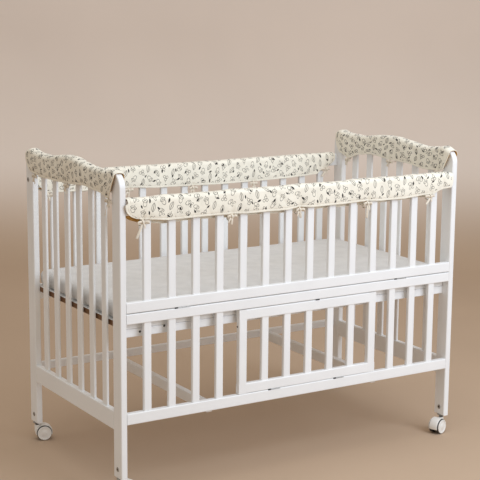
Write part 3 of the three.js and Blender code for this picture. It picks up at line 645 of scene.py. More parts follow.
def moulded_plastic(name, colour, roughness):
    """Injection-moulded nylon: one colour, a fine spark-eroded texture and a soft shine."""
    material, tree = new_material(name)
    place = node(tree, "TexCoord", out="Object")
    grit = node(tree, "TexNoise", {"Vector": place, "Scale": 900.0, "Detail": 2.0}, out="Fac")  # 1.1 mm grit
    tinted = toned(tree, colour, grit, 0.96, 1.03, 0.2, 0.8)
    bump = node(tree, "Bump", {"Height": grit, "Strength": 0.3, "Distance": 0.06 * MM})
    surface(tree, Base_Color=tinted, Roughness=roughness, IOR=1.53, Normal=bump)
    return material


def zinc_plated_steel():
    """Zinc-plated steel: a pale grey metal with a soft, slightly mottled shine."""
    material, tree = new_material("zinc_plated_steel")
    place = node(tree, "TexCoord", out="Object")
    mottle = node(tree, "TexNoise", {"Vector": place, "Scale": 420.0, "Detail": 3.0}, out="Fac")  # 2.4 mm
    roughness = node(tree, "MapRange", [mottle, 0.2, 0.8, 0.28, 0.46])
    tinted = toned(tree, linear("#B4B4B2"), mottle, 0.88, 1.0, 0.2, 0.8)
    surface(tree, Base_Color=tinted, Metallic=1.0, Roughness=roughness)
    return material


# Covers

def eased(rows, column, at):
    """A column of the rows at any place along the rail, by a smooth step from each row to the next."""
    places = np.array([row.at for row in rows], float)
    values = np.array([getattr(row, column) for row in rows], float)
    index = np.clip(np.searchsorted(places, at) - 1, 0, len(rows) - 2)
    share = np.clip((at - places[index]) / (places[index + 1] - places[index]), 0, 1)
    return values[index] + (values[index + 1] - values[index]) * share ** 2 * (3 - 2 * share)


def rail_top(side, at):
    """The height that a cover lies over. On the long sides it is level.

    On the ends it is a dipped line with a crown, as a squared cosine, between two posts whose outer corners
    are quarter circles. The strip comes down from the posts' tops to the rail at a gentle slope, and bridges
    their arches at another.
    """
    if side in SIDE_RAIL_TOP:
        return np.full_like(at, SIDE_RAIL_TOP[side])
    from_middle = np.abs(at - WIDTH / 2)
    reach = END_RAIL["crown_reach"]
    rise = END_RAIL["crown"] - END_RAIL["dip"]
    crown = END_RAIL["dip"] + rise * np.cos(math.pi / 2 * np.minimum(from_middle / reach, 1)) ** 2
    share = np.clip((from_middle - reach) / (WIDTH / 2 - POST_WIDE - reach), 0, 1)
    rail = crown + (END_RAIL["shoulder"] - END_RAIL["dip"]) * share ** 2
    from_end = np.minimum(at, WIDTH - at)
    past = np.clip(POST_ARCH - from_end, 0, POST_ARCH)
    post = POST_TOP - POST_ARCH + np.sqrt(POST_ARCH ** 2 - past ** 2)
    post = np.maximum(post, POST_TOP - OVER_ARCH * (POST_ARCH - from_end))
    off_post = np.maximum(rail, POST_TOP - OFF_POST * (from_end - POST_WIDE))
    return np.where(from_end > POST_WIDE, off_post, post)


def on_crib(side, at, out, height):
    """Takes a place along a rail, outwards and up to the crib's own axes."""
    across = {"front": BOARD / 2 - out, "back": WIDTH - BOARD / 2 + out,
              "left": BOARD / 2 - out, "right": LENGTH - BOARD / 2 + out}[side]
    pair = (at, across) if side in ("front", "back") else (across, at)
    return np.stack(np.broadcast_arrays(*pair, height), -1).astype(float)


def cover_middle(side, at, level, padding):
    """The surface midway through a cover, from places along it and levels across it.

    The levels run from -2 at the outer hem to 2 at the inner. From level 0 to 1 the section is a quarter of a
    superellipse over the rail, from 1 to 2 a flap to the hem. The flap swells with a half sine, its hem is
    drawn in with the square of the way down, and its ends lie in with the cover's own powers of it. The start
    of an outer flap may also spread, as a half sine of a root of the way down.
    """
    cover = COVERS[side]
    rows = cover.rows
    turn = math.pi / 2 * np.minimum(np.abs(level), 1)
    rounding = 2 / SHOULDER["fullness"]
    out = SHOULDER["out"] * np.sin(turn) ** rounding
    drop = SHOULDER["drop"] * (1 - np.cos(turn) ** rounding)
    down = np.maximum(np.abs(level) - 1, 0)
    top = rail_top(side, at) + LIE + padding / 2 + eased(rows, "lift", at)
    hem = np.where(level < 0, eased(rows, "outer", at), eased(rows, "inner", at))
    height = (top - drop) * (1 - down) + hem * down
    swell = eased(rows, "puff", at) * np.sin(math.pi * down) - eased(rows, "pull", at) * down ** 2
    first = np.clip((at - rows[0].at) / (rows[1].at - rows[0].at), 0, 1)
    last = np.clip((rows[-1].at - at) / (rows[-1].at - rows[-2].at), 0, 1)
    cuts = [np.where(level < 0, *pair) for pair in zip(cover.outer_cuts, cover.inner_cuts)]
    insets = [cut * down ** power for cut, power in zip(cuts, cover.corner_powers)]
    flare = np.where(level < 0, FLARE.get(side, 0), 0) * np.sin(math.pi * down ** 0.4)
    along = at + (insets[0] - flare) * (1 - first) - insets[1] * (1 - last)
    return on_crib(side, along, -np.sign(level) * (out + swell), height)


def cloth_normals(middle):
    """Unit normals of a grid of points, from the cross product of its central differences."""
    return unit(np.cross(np.gradient(middle, axis=0), np.gradient(middle, axis=1)))


def cover_relief(side, at, over, from_hem):
    """How far the cloth stands off its even surface: gathers at the ties, creases and a soft unevenness.

    A tie draws a trough straight up from the hem between two ridges, with puckers across them, all fading as
    bell curves of the distance. A crease is a bell curve across its line, and a flatter one along it.
    """
    cover = COVERS[side]
    relief = np.zeros_like(over)
    for tie in cover.ties:
        beside = (at - tie) / GATHER["half"]
        trough = GATHER["ridge"] * np.exp(-(np.abs(beside) - GATHER["ridge_at"]) ** 2)
        trough = trough - GATHER["trough"] * np.exp(-beside ** 2)
        relief += trough * np.exp(-(from_hem / GATHER["fade"]) ** 1.5)
        pucker = PUCKER["high"] * np.sin((at - tie) / PUCKER["wave"])
        pucker = pucker * np.exp(-((at - tie) / PUCKER["reach"]) ** 2)
        relief += pucker * np.exp(-from_hem / PUCKER["fade"])
    for crease in cover.creases:
        lean = math.radians(crease.lean)
        along = (over - crease.over) * math.cos(lean) + (at - crease.at) * math.sin(lean)
        across = (at - crease.at) * math.cos(lean) - (over - crease.over) * math.sin(lean)
        line = np.exp(-(across / crease.wide) ** 2) - 0.45 * np.exp(-(across / crease.wide / 1.7 - 1.1) ** 2)
        relief -= crease.deep * line * np.exp(-(along / crease.reach) ** 4)
    phase = len(cover.ties) + len(cover.creases)
    for along_wave, over_wave, slant, height in UNEVEN:
        relief += height * np.sin(at / along_wave * 2 * math.pi + slant * over / over_wave * 2 + phase)
    return relief


def cloth_thickness(from_edge, padding, hem):
    """A flat hem with a round edge, a stitched groove inside it, then the padding, which swells softly."""
    edge_round = np.sqrt(1 - (1 - np.minimum(from_edge / HEM["round"], 1)) ** 2)
    band = HEM["edge"] + (HEM["thick"] - HEM["edge"]) * edge_round
    groove = HEM["groove"] * np.exp(-((from_edge - hem) / HEM["groove_half"]) ** 2)
    inside = np.maximum(from_edge - hem, 0)
    return band - groove + (padding - HEM["thick"]) * (1 - np.exp(-inside / 5))


def grid_solid(outer, inner):
    """Closes two grids of points, one over the other, into a solid. Also gives how many faces each has."""
    rows, columns = outer.shape[:2]
    row = np.arange(rows - 1)[:, None]
    column = np.arange(columns - 1)[None, :]
    corner = (row * columns + column).ravel()
    sheet = np.stack([corner, corner + columns, corner + columns + 1, corner + 1], -1)
    under = rows * columns
    rim = np.concatenate([
        np.arange(columns - 1),
        np.arange(1, rows) * columns - 1,
        rows * columns - 1 - np.arange(columns - 1),
        (rows - 1 - np.arange(rows - 1)) * columns,
    ])
    beyond = np.roll(rim, -1)
    walls = np.stack([rim, beyond, beyond + under, rim + under], -1)
    faces = np.concatenate([sheet, sheet[:, ::-1] + under, walls])
    points = np.concatenate([outer.reshape(-1, 3), inner.reshape(-1, 3)])
    return points, faces, len(sheet)


def strip_grid(rows):
    """Places along a strip and levels across it, close together at its ends and hems."""
    start, end = rows[0].at, rows[-1].at
    edge = EDGE_STEPS[-1]
    count = int((end - start - 2 * edge) / GRID_STEP)
    even = np.linspace(start + edge, end - edge, count)[1:-1]
    at = np.concatenate([start + EDGE_STEPS, even, end - EDGE_STEPS[::-1]])
    flap = 2 - np.concatenate([EDGE_STEPS / FLAP, np.linspace(edge / FLAP, 1, 13)[1:]])
    half = np.concatenate([flap, np.linspace(1, 0, 10)[1:]])
    return at, np.concatenate([-half, half[-2::-1]])


def distances(points, axis):
    """How far along its line of a grid each point lies: the sum of the steps before it."""
    steps = np.linalg.norm(np.diff(points, axis=axis), axis=2)
    return np.insert(np.cumsum(steps, axis=axis), 0, 0, axis=axis)


def sew_cover(side, settings, materials):
    """One cover: the printed face, the rail side in an ochre that is painted shade, and the hem that joins
    them.

    Gives the piece, its flat length along the rail and its flat width from hem to hem.
    """
    padding = settings.padding / MM
    at, level = strip_grid(COVERS[side].rows)
    ridge = len(level) // 2
    middle = cover_middle(side, at[:, None], level[None, :], padding)
    normals = cloth_normals(middle)
    if normals[:, ridge, 2].mean() < 0:
        normals = -normals
    from_outer = distances(middle, 1)
    from_start = distances(middle, 0)
    over = from_outer - from_outer[:, ridge:ridge + 1]
    from_hem = np.minimum(from_outer, from_outer[:, -1:] - from_outer)
    from_end = np.minimum(from_start, from_start[-1:] - from_start)
    from_edge = np.minimum(from_hem, from_end)
    along = np.broadcast_to(at[:, None], over.shape)
    middle = middle + normals * cover_relief(side, along, over, from_hem)[..., None]
    creased = cloth_normals(middle)
    normals = creased * np.sign((creased * normals).sum(-1, keepdims=True))
    half_thick = cloth_thickness(from_edge, padding, settings.hem / MM)[..., None] / 2
    points, faces, sheet = grid_solid(middle + normals * half_thick, middle - normals * half_thick)
    made = mesh_object(f"printed_cover_{side}", points, faces, materials)

    kind = np.repeat([0, 1, 2], [sheet, sheet, len(faces) - 2 * sheet]).astype(np.int32)
    start_wall = kind[2 * sheet:2 * sheet + len(level) - 1]
    start_wall[np.abs(level[:-1] + level[1:]) < 2] = 0  # the start's edge is printed over the rail's top
    made.data.polygons.foreach_set("material_index", kind)
    place = np.stack([along + CLOTH_APART * list(COVERS).index(side), over], -1).reshape(-1, 2)
    flat_map(made, np.tile(place, (2, 1)))
    # Distance from the hem for the cream band. On the front cover it grows near the ends, so that the painted
    # shade reaches them
    past_band = from_hem + BAND_RUNS_OUT.get(side, 0) * np.exp(-(from_end / BAND_FADE) ** 4)
    for name, distance in (("edge", from_edge), ("hem", past_band)):
        kept = made.data.attributes.new(name, "FLOAT", "POINT")
        kept.data.foreach_set("value", np.tile(distance.ravel(), 2).astype(np.float32) * MM)
    face_outwards(made)
    return made, float(from_start[-1].max()), float(from_outer[:, -1].mean())


def flat_map(piece, places):
    """Gives a piece a map in metres called cloth, from one place in millimetres for each point."""
    corners = np.empty(len(piece.data.loops), np.int32)
    piece.data.loops.foreach_get("vertex_index", corners)
    layer = piece.data.uv_layers.new(name="cloth")
    layer.data.foreach_set("uv", (places[corners] * MM).ravel().astype(np.float32))


# Ties

def neck(distance):
    """Half a ribbon's width near the knot: a root of the distance from it."""
    return RIBBON["neck"] + RIBBON["grows"] * np.minimum(distance / RIBBON["over"], 1) ** 0.6


def ribbon(corners, widthways, steps, twist=0.0, neck_start=False, neck_end=False, flare=0.0):
    """A flat ribbon along a smooth path.

    Its section is an oval of eight points, wide along the given direction and turned by the twist from start
    to end. It narrows to a neck where it goes into the knot, as a rounded step of the distance from it.
    """
    path = smooth_path(corners, steps)
    along = unit(np.gradient(path, axis=0))
    wide = unit(widthways - along * (along @ widthways)[:, None])
    thick = np.cross(along, wide)
    turn = np.linspace(0, twist, steps)[:, None]
    wide, thick = wide * np.cos(turn) + thick * np.sin(turn), thick * np.cos(turn) - wide * np.sin(turn)
    run = np.concatenate([[0], np.cumsum(np.linalg.norm(np.diff(path, axis=0), axis=1))])
    half = RIBBON["half"] + flare * run / run[-1]
    if neck_start:
        half = np.minimum(half, neck(run))
    if neck_end:
        half = np.minimum(half, neck(run[-1] - run))
    angle = np.arange(8) * math.pi / 4
    across = np.sign(np.cos(angle)) * np.abs(np.cos(angle)) ** 0.6
    rise = RIBBON["thick"] * np.sin(angle)
    cup = RIBBON["cup"] * across ** 2
    points = (path[:, None] + wide[:, None] * (half[:, None] * across)[..., None]
              + thick[:, None] * (rise + cup * half[:, None] / 3.5)[..., None])
    flat = np.stack(np.broadcast_arrays(half[:, None] * across, run[:, None]), -1)
    return points.reshape(-1, 3), tube_faces(steps, 8), flat.reshape(-1, 2)


def ball(middle, radii, rings=10, sides=14):
    """A rounded bead: latitude and longitude on an oval, its poles closed by small flat faces."""
    latitude = np.linspace(0.12, math.pi - 0.12, rings)[:, None]
    longitude = np.linspace(0, 2 * math.pi, sides, endpoint=False)[None, :]
    points = np.stack(np.broadcast_arrays(
        np.cos(latitude), np.sin(latitude) * np.cos(longitude), np.sin(latitude) * np.sin(longitude)), -1)
    points = (points * radii + middle).reshape(-1, 3)
    return points, tube_faces(rings, sides), points[:, :2]


def bow(near_out, far_out, far_hem, shape):
    """A tie in its own frame: X along the rail, Y out on the side of the bow, Z up from the near hem."""
    knot = np.array([0, near_out + 1, -KNOT_UNDER])
    along = np.array([1.0, 0, 0])
    up = np.array([0, 0, 1.0])
    strips = [
        ribbon([(0, near_out, 3), (0, near_out + 0.4, -3), knot], along, 8, neck_end=True),
        ribbon([(0, -far_out, far_hem + 3), (0, -far_out * 0.9, far_hem - 4), (0, -far_out / 2, far_hem - 7),
                (0, near_out / 2, min(far_hem, 0) - 6), knot], along, 22, neck_end=True),
        ribbon([knot, knot + (shape.lean_a * 0.4, 2, -shape.end_a * 0.4),
                knot + (shape.lean_a, 1, -shape.end_a)], along, 20, twist=0.9, neck_start=True, flare=0.3),
        ribbon([knot, knot + (shape.lean_b * 0.7, 2.5, -shape.end_b * 0.5),
                knot + (shape.lean_b, 1.5, -shape.end_b)], along, 14, twist=-0.6, neck_start=True, flare=0.3),
        ball(knot, (4.6, 4.2, 4.8)),
    ]
    for reach in (-shape.left, shape.right):
        strips.append(ribbon([
            knot,
            knot + (reach * 0.55, 4.5, 3.4 - shape.droop * 0.3),
            knot + (reach * 0.95, 3.4, 2.2 - shape.droop * 0.8),
            knot + (reach, 0.4, 0.4 - shape.droop),
            knot + (reach * 0.55, -2, -shape.droop * 0.6 - 1),
            knot,
        ], up, 26, neck_start=True, neck_end=True))
    turn = np.linspace(0, 2 * math.pi, 9)[:, None]
    round_knot = knot + np.hstack([0.6 * np.sin(turn), 4.8 * np.cos(turn), 5.2 * np.sin(turn)])
    strips.append(ribbon(round_knot, along, 20))
    return strips


def tie_bows(side, material):
    """All the ties of one cover, each a piece of its own that stands for its node."""
    cover = COVERS[side]
    near_is_outer = cover.tie_side == "outer"
    ways = ("outer", "inner") if near_is_outer else ("inner", "outer")
    made = []
    for number, at in enumerate(cover.ties):
        place = np.array([float(at)])
        near, far = [float(eased(cover.rows, way, place)[0]) for way in ways]
        out = SHOULDER["out"] - float(eased(cover.rows, "pull", place)[0])
        strips = bow(out, out, far - near, BOWS[number])
        points, faces = join_parts([(points, faces) for points, faces, _ in strips])
        flat = np.concatenate([flat for _, _, flat in strips])
        origin = on_crib(side, place, np.zeros(1), near)[0]
        outward = on_crib(side, place, np.ones(1) * (1 if near_is_outer else -1), near)[0] - origin
        upward = np.array([0, 0, 1.0])
        axes = np.stack([np.cross(outward, upward), outward, upward])
        piece = mesh_object(f"ribbon_tie_{side}_{number + 1}", points @ axes + origin, faces, [material])
        flat_map(piece, flat)
        face_outwards(piece, merged=False)
        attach(piece, "root")
        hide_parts(f"tie_{side}_{number + 1}")
        made.append(piece)
    return made


# Mattress

def pad_lines(low, high, roundness, spacing):
    """Places from one side of a pad to the other, close together over its rounded edges."""
    turned = low + roundness * (1 - np.cos(np.linspace(0, math.pi / 2, 7)))
    inner = np.linspace(low + roundness, high - roundness, max(3, int((high - low) / spacing)))
    return np.concatenate([turned[:-1], inner, (low + high - turned[::-1])[1:]])


def mattress_points(places, low, high, roundness, crown):
    """Rounds a box: each point goes to the rounding's distance from an inner box, and the top is crowned."""
    core = np.clip(places, low + roundness, high - roundness)
    away = places - core
    moved = core + unit(away) * roundness * (np.linalg.norm(away, axis=-1, keepdims=True) > 1e-6)
    share = (2 * core - low - high) / (high - low)
    above = moved[:, 2] > (low[2] + high[2]) / 2
    moved[:, 2] += np.where(above, crown * (1 - share[:, 0] ** 4) * (1 - share[:, 1] ** 2), 0)
    return moved


def mattress_folds(points, low, high):
    """Soft folds of the cover, only inwards: slanting troughs down the sides and slack at the lower edge."""
    x, y, z = points.T
    depth = (high[2] - z) / (high[2] - low[2])
    on_side = np.clip((np.abs(2 * (y - low[1]) / (high[1] - low[1]) - 1) - 0.96) / 0.04, 0, 1)
    on_end = np.clip((np.abs(2 * (x - low[0]) / (high[0] - low[0]) - 1) - 0.98) / 0.02, 0, 1)
    run = np.where(on_end > on_side, y, x)
    slanted = run + 26 * np.sin(run / 97) * depth
    folds = np.sin(slanted / 23) * np.sin(slanted / 61 + 1.1)
    folds = folds + 0.6 * np.sin(slanted / 11 + 2 * depth + run / 140)
    slack = 0.8 * np.sin(math.pi * np.clip(depth, 0, 1)) + 0.2
    inward = 1.1 + 0.8 * folds * slack
    strength = np.maximum(on_side, on_end)
    middle = (low + high) / 2
    towards = np.sign(middle - points) * np.stack([on_end, on_side, 0 * z], -1)
    return points + towards * np.clip(inward, 0, 3)[:, None] * strength[:, None]


def sew_mattress(settings):
    """The mattress in its cover: a rounded slab with a crown, on the same box as its node."""
    low, high = [np.array(corner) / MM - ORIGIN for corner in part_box("mattress")]
    roundness = 20.0
    crown = 7.0
    spacing = 9
    high = high - (0, 0, crown)
    lines = [pad_lines(low[axis], high[axis], roundness, spacing) for axis in range(3)]
    parts = []
    for axis in range(3):
        first, second = [lines[(axis + shift) % 3] for shift in (1, 2)]
        for level in (low[axis], high[axis]):
            grid = np.empty((len(first), len(second), 3))
            grid[..., axis] = level
            grid[..., (axis + 1) % 3] = first[:, None]
            grid[..., (axis + 2) % 3] = second[None, :]
            corner = (np.arange(len(first) - 1)[:, None] * len(second) + np.arange(len(second) - 1)).ravel()
            quads = np.stack([corner, corner + len(second), corner + len(second) + 1, corner + 1], -1)
            parts.append((grid.reshape(-1, 3), quads))
    points, faces = join_parts(parts)
    points = mattress_points(points, low, high, roundness, crown)
    points = mattress_folds(points, low, high)
    points[:, 2] = np.maximum(points[:, 2], low[2])
    material = plain_cloth("brushed_jersey", settings.mattress, 1.6, 46.0, 2.4)
    piece = mesh_object("mattress_in_cover", points, faces, [material])
    flat_map(piece, points[:, :2] + points[:, 2:])
    face_outwards(piece)
    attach(piece, "root")
    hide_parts("mattress")


# Casters

def turned_part(profile, sides=40):
    """A part turned about the caster's axle: each pair is a place along the axle and a radius."""
    place, radius = np.array(profile, float).T
    angle = np.linspace(0, 2 * math.pi, sides, endpoint=False)
    across = radius[:, None] * np.cos(angle)
    up = CASTER["radius"] + radius[:, None] * np.sin(angle)
    points = np.stack(np.broadcast_arrays(place[:, None], across, up), -1)
    return points.reshape(-1, 3), tube_faces(len(profile), sides)


def upright_part(profile, sides=24):
    """A part turned about the caster's stem: each pair is a height and a radius."""
    height, radius = np.array(profile, float).T
    angle = np.linspace(0, 2 * math.pi, sides, endpoint=False)
    across = radius[:, None] * np.cos(angle)
    along = CASTER["trail"] + radius[:, None] * np.sin(angle)
    points = np.stack(np.broadcast_arrays(across, along, height[:, None]), -1)
    return points.reshape(-1, 3), tube_faces(len(profile), sides)


def hood_part():
    """The hood over both wheels: the closed section of a thin curved plate, carried round the axle."""
    outer = [(-15.5, 26.4), (-14.5, 27.4), (-11, 28), (0, 28.2), (11, 28), (14.5, 27.4), (15.5, 26.4)]
    inner = [(15.0, 25.6), (0, 26.0), (-15.0, 25.6)]
    place, radius = np.array(outer + inner, float).T
    angle = np.radians(np.linspace(-12, 196, 40))[:, None]
    points = np.stack(np.broadcast_arrays(
        place[None], radius * np.cos(angle), CASTER["radius"] + radius * np.sin(angle)), -1)
    return points.reshape(-1, 3), tube_faces(len(angle), len(place))


def caster_parts():
    """The parts of a caster by finish, in its own frame: axle along X, stem at the trail's Y, floor at 0."""
    mid = CASTER["radius"]
    inner = CASTER["half_width"] - CASTER["wheel"]
    outer = CASTER["half_width"]
    tread = [(inner, 14), (inner, 22.5), (inner + 1.2, 24.4), (inner + 3, mid), (outer - 4.6, mid),
             (outer - 3.2, 24.4), (outer - 2.6, 23.2), (outer - 2.6, 14)]
    disc = [(outer - 3, 23), (outer - 0.8, 23.2), (outer - 0.1, 22.3), (outer, 21.4), (outer - 0.2, 19.8),
            (outer - 1.6, 19), (outer - 1.5, 14), (outer - 1.1, 8.5), (outer - 0.8, 8), (outer - 0.3, 7.2),
            (outer - 0.2, 3), (outer - 0.2, 0.6)]
    axle = [(-inner - 1, 3), (inner + 1, 3)]
    light = [hood_part()]
    dark = [turned_part(axle, 16)]
    for sign in (1, -1):
        light.append(turned_part([(sign * place, radius) for place, radius in disc]))
        dark.append(turned_part([(sign * place, radius) for place, radius in tread]))
    light.append(upright_part([(mid + 3, 6), (mid + 4, 8.5), (48, 8.8), (51.5, 8), (52, 6)]))
    dark.append(upright_part([(51, 6.4), (54, 6.6), (58, 5.5), (59, 5.4)]))
    steel = [upright_part([(58.6, 5.2), (58.8, 12.4), (59.3, 13), (61.2, 13), (CASTER["top"], 12.4),
                           (CASTER["top"], 4)])]
    return {"light": light, "dark": dark, "steel": steel}


def fit_casters(settings):
    """Four twin-wheel casters, each in three finishes."""
    finishes = {
        "light": moulded_plastic("moulded_nylon_light", settings.wheel, 0.42),
        "dark": moulded_plastic("moulded_nylon_dark", settings.neck, 0.55),
        "steel": zinc_plated_steel(),
    }
    for name, (x, y, trail_angle) in CASTERS.items():
        turn = math.radians(trail_angle + 90)
        cosine, sine = math.cos(turn), math.sin(turn)
        axes = np.array([[cosine, sine, 0], [-sine, cosine, 0], [0, 0, 1.0]])
        for finish, parts in caster_parts().items():
            points, faces = join_parts(parts)
            placed = (points - (0, CASTER["trail"], 0)) @ axes + (x, y, 0)
            piece = mesh_object(f"caster_{finish}_{name}", placed, faces, [finishes[finish]])
            face_outwards(piece, merged=False)
            crease_shading(piece)
            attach(piece, "root")
            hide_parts(f"caster_{name}")


def crease_shading(piece, degrees=35):
    """Marks the edges sharper than an angle, so that round parts shade smoothly and steps stay crisp."""
    piece.data.set_sharp_from_angle(angle=math.radians(degrees))


# Fittings

def slat_place(number):
    """The middle of one of the slats of a long side, counted from nought at the left."""
    return LENGTH / 2 + (number - (SLATS - 1) / 2) * SLAT_PITCH


def rod(start, end, radius, sides=16, bevel=0.6):
    """A round bar between two places, its ends eased by a small bevel."""
    start, end = np.array(start, float), np.array(end, float)
    along = unit(end - start)
    helper = np.array([0, 0, 1.0]) if abs(along[2]) < 0.9 else np.array([1.0, 0, 0])
    first = unit(np.cross(along, helper))
    second = np.cross(along, first)
    reach = np.linalg.norm(end - start)
    place = np.array([0, bevel, reach - bevel, reach])[:, None, None]
    size = np.array([radius - bevel, radius, radius, radius - bevel])[:, None, None]
    angle = np.linspace(0, 2 * math.pi, sides, endpoint=False)[None, :, None]
    points = start + along * place + size * (first * np.cos(angle) + second * np.sin(angle))
    return points.reshape(-1, 3), tube_faces(4, sides)


# x, y and z of each bolt's head on a post's face, and the way it looks along X
BOLTS = [
    (0, 25, 90, -1), (0, WIDTH - 27, 90, -1),
    (BOARD, 25, 90, 1), (BOARD, WIDTH - 25, 90, 1),
    (LENGTH, 25, 90, 1), (LENGTH, WIDTH - 25, 90, 1),
    (LENGTH - BOARD, 25, 88, -1), (LENGTH - BOARD, WIDTH - 25, 90, -1),
    (0, WIDTH - 16, 873, -1), (LENGTH, WIDTH - 16, 873, 1),
]
# Left end and length of each butt hinge's knuckles, and the height of the gap that they lie in
HINGES = [(179, 52, 561), (992, 48, 561), (509, 44, 262.3), (757, 40, 262.3)]
GATE_CATCH = (690, 528.1)  # x and z of its middle
# x, y and z of each sunk screw's head, all in faces that look to the front
SCREWS = [(78, 30, 497), (159, 30, 504.5), (1081, 30, 497), (1162, 30, 497)]
GATE_STILE = (slat_place(4) - 14, 13, 474)  # the place of the screw in the stile beside the gate


def fit_hardware():
    """Socket bolts in the posts, knuckles of the upper side's and the gate's hinges, the catch and screws.
    The bolts' sockets, the hinges' notches and the screws are dark pieces of painted shade, standing for the
    shade in those hollows; the catch is dark too.
    """
    steel = zinc_plated_steel()
    # Painted shade: a near-black for the shaded hollows of sockets, hinge notches and screw holes; the catch
    # takes it too
    dark = moulded_plastic("dark_steel_and_painted_shade", linear("#262423"), 0.5)
    heads, sockets = [], []
    for x, y, z, way in BOLTS:
        heads.append(rod((x - way * 0.5, y, z), (x + way * 1.4, y, z), 7.2, 20, 0.5))
        sockets.append(rod((x + way * 0.9, y, z), (x + way * 1.6, y, z), 3.4, 6, 0.1))
    knuckles, notches = [], []
    for x, long, z in HINGES:
        share = (long - 10) / 3
        for number in range(3):
            left = x + 10 + number * share
            knuckles.append(rod((left, 1.1, z), (left + share - 0.7, 1.1, z), 1.9, 14, 0.4))
        notches.append(rod((x, 1.3, z), (x + 9.5, 1.3, z), 2.4, 12, 0.8))
    x, z = GATE_CATCH
    catch = [rod((x - 7, 1.0, z), (x + 7, 1.0, z), 2.2, 12, 0.6)]
    screws = [rod((x, y + 0.6, z), (x, y - 0.25, z), 3.6, 18, 0.2) for x, y, z in SCREWS]
    x, y, z = GATE_STILE
    screws.append(rod((x + 0.6, y, z), (x - 0.3, y, z), 3.2, 18, 0.2))
    groups = (
        ("bolt_heads", heads, steel),
        ("bolt_sockets", sockets, dark),
        ("hinge_knuckles", knuckles, steel),
        ("hinge_notches", notches, dark),
        ("gate_catch", catch, dark),
        ("sunk_screws", screws, dark),
    )
    for name, parts, material in groups:
        points, faces = join_parts(parts)
        piece = mesh_object(name, points, faces, [material])
        face_outwards(piece, merged=False)
        crease_shading(piece)
        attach(piece, "root")


# Studio

CAMERA = {"place": (-2.3347, -3.7369, 1.4942), "yaw": 31.857, "pitch": 10.597, "roll": 0.488, "lens": 102.27}
# The floor's half width, how far behind the middle it starts to curve up, its bend's radius and its top
BACKDROP = {"half": 9000.0, "back": 2600.0, "bend": 1200.0, "top": 5200}


def camera_matrix():
    """Yaw is from +Y towards +X, pitch is downwards, and roll turns the picture clockwise."""
    yaw, pitch, roll = [math.radians(CAMERA[key]) for key in ("yaw", "pitch", "roll")]
    ahead = Vector((math.sin(yaw) * math.cos(pitch), math.cos(yaw) * math.cos(pitch), -math.sin(pitch)))
    level = Vector((math.cos(yaw), -math.sin(yaw), 0))
    above = level.cross(ahead)
    right = level * math.cos(roll) + above * math.sin(roll)
    up = above * math.cos(roll) - level * math.sin(roll)
    turned = Matrix((right, up, -ahead)).transposed().to_4x4()
    return Matrix.Translation(CAMERA["place"]) @ turned


def lamp(name, place, target, size, power, colour):
    """A square area light that looks at a place."""
    data = bpy.data.lights.new(name, "AREA")
    data.size = size
    data.energy = power
    data.color = linear(colour)
    made = bpy.data.objects.new(name, data)
    made.matrix_world = Matrix.Translation(place) @ (
        Vector(target) - Vector(place)).to_track_quat("-Z", "Y").to_matrix().to_4x4()
    bpy.context.scene.collection.objects.link(made)


def set_camera():
    """The camera that sees the crib from the photograph's angle."""
    data = bpy.data.cameras.new("camera")
    data.lens = CAMERA["lens"]
    data.sensor_width = 36
    camera = bpy.data.objects.new("camera", data)
    camera.matrix_world = camera_matrix()
    bpy.context.scene.collection.objects.link(camera)
    bpy.context.scene.camera = camera


def painted_floor(settings):
    """Matt floor paint: a plain colour with faint clouds, turning into the wall's colour as it curves up."""
    material, tree = new_material("painted_floor")
    place = node(tree, "TexCoord", out="Object")
    clouds = node(tree, "TexNoise", {"Vector": place, "Scale": 1.3, "Detail": 2.0}, out="Fac")
    height = node(tree, "SeparateXYZ", [place], out=None)["Z"]
    above = node(tree, "MapRange", [height, 0.0, 0.5, 0.0, 1.0], interpolation_type="SMOOTHSTEP")
    painted = node(tree, "Mix", {0: above, 6: rgba(settings.floor), 7: rgba(settings.backdrop)}, out=2,
                   data_type="RGBA")
    surface(tree, Base_Color=toned(tree, painted, clouds, 0.97, 1.02), Roughness=0.85, Specular_IOR_Level=0.2)
    return material


def lay_floor(settings):
    """A level floor, then a quarter circle up into a wall, carried straight across the camera's view."""
    half, back, bend = BACKDROP["half"], BACKDROP["back"], BACKDROP["bend"]
    curve = np.linspace(0, math.pi / 2, 24)
    depth = np.concatenate([[-half], back + bend * np.sin(curve), [back + bend]])
    height = np.concatenate([[0], bend * (1 - np.cos(curve)), [BACKDROP["top"]]])
    yaw = math.radians(CAMERA["yaw"])
    ahead = np.array([math.sin(yaw), math.cos(yaw), 0])
    level = np.array([math.cos(yaw), -math.sin(yaw), 0])
    points = (np.array([-half, half])[:, None, None] * level + depth[None, :, None] * ahead
              + height[None, :, None] * np.array([0, 0, 1.0])) - ORIGIN
    count = len(depth)
    faces = [(step, count + step, count + step + 1, step + 1) for step in range(count - 1)]
    mesh_object("floor_and_backdrop", points.reshape(-1, 3), faces, [painted_floor(settings)])


def build_studio(settings):
    """The camera, a plain floor and backdrop, one large light at the front, one overhead and room light."""
    set_camera()
    lay_floor(settings)
    lamp("window", (0.9, -2.6, 2.0), (0.1, 0.0, 0.5), 2.0, settings.window, "#E3EFFF")
    lamp("ceiling", (-0.4, -0.6, 4.2), (0, 0, 0.5), 3.5, settings.ceiling, "#FFFFFF")
    world = bpy.data.worlds.new("room")
    bpy.context.scene.world = world
    world.use_nodes = True
    background = world.node_tree.nodes["Background"]
    background.inputs["Color"].default_value = rgba(linear("#FAF4EC"))
    background.inputs["Strength"].default_value = settings.room
    bpy.context.scene.view_settings.view_transform = "Standard"


# Operators

class RAILCOVER_OT_studio(bpy.types.Operator):
    """Sets up the camera, the floor and the lights"""

    bl_idname = "rail_cover.studio"
    bl_label = "Build studio"

    def execute(self, context):
        build_studio(context.scene.rail_cover.studio)
        return {"FINISHED"}


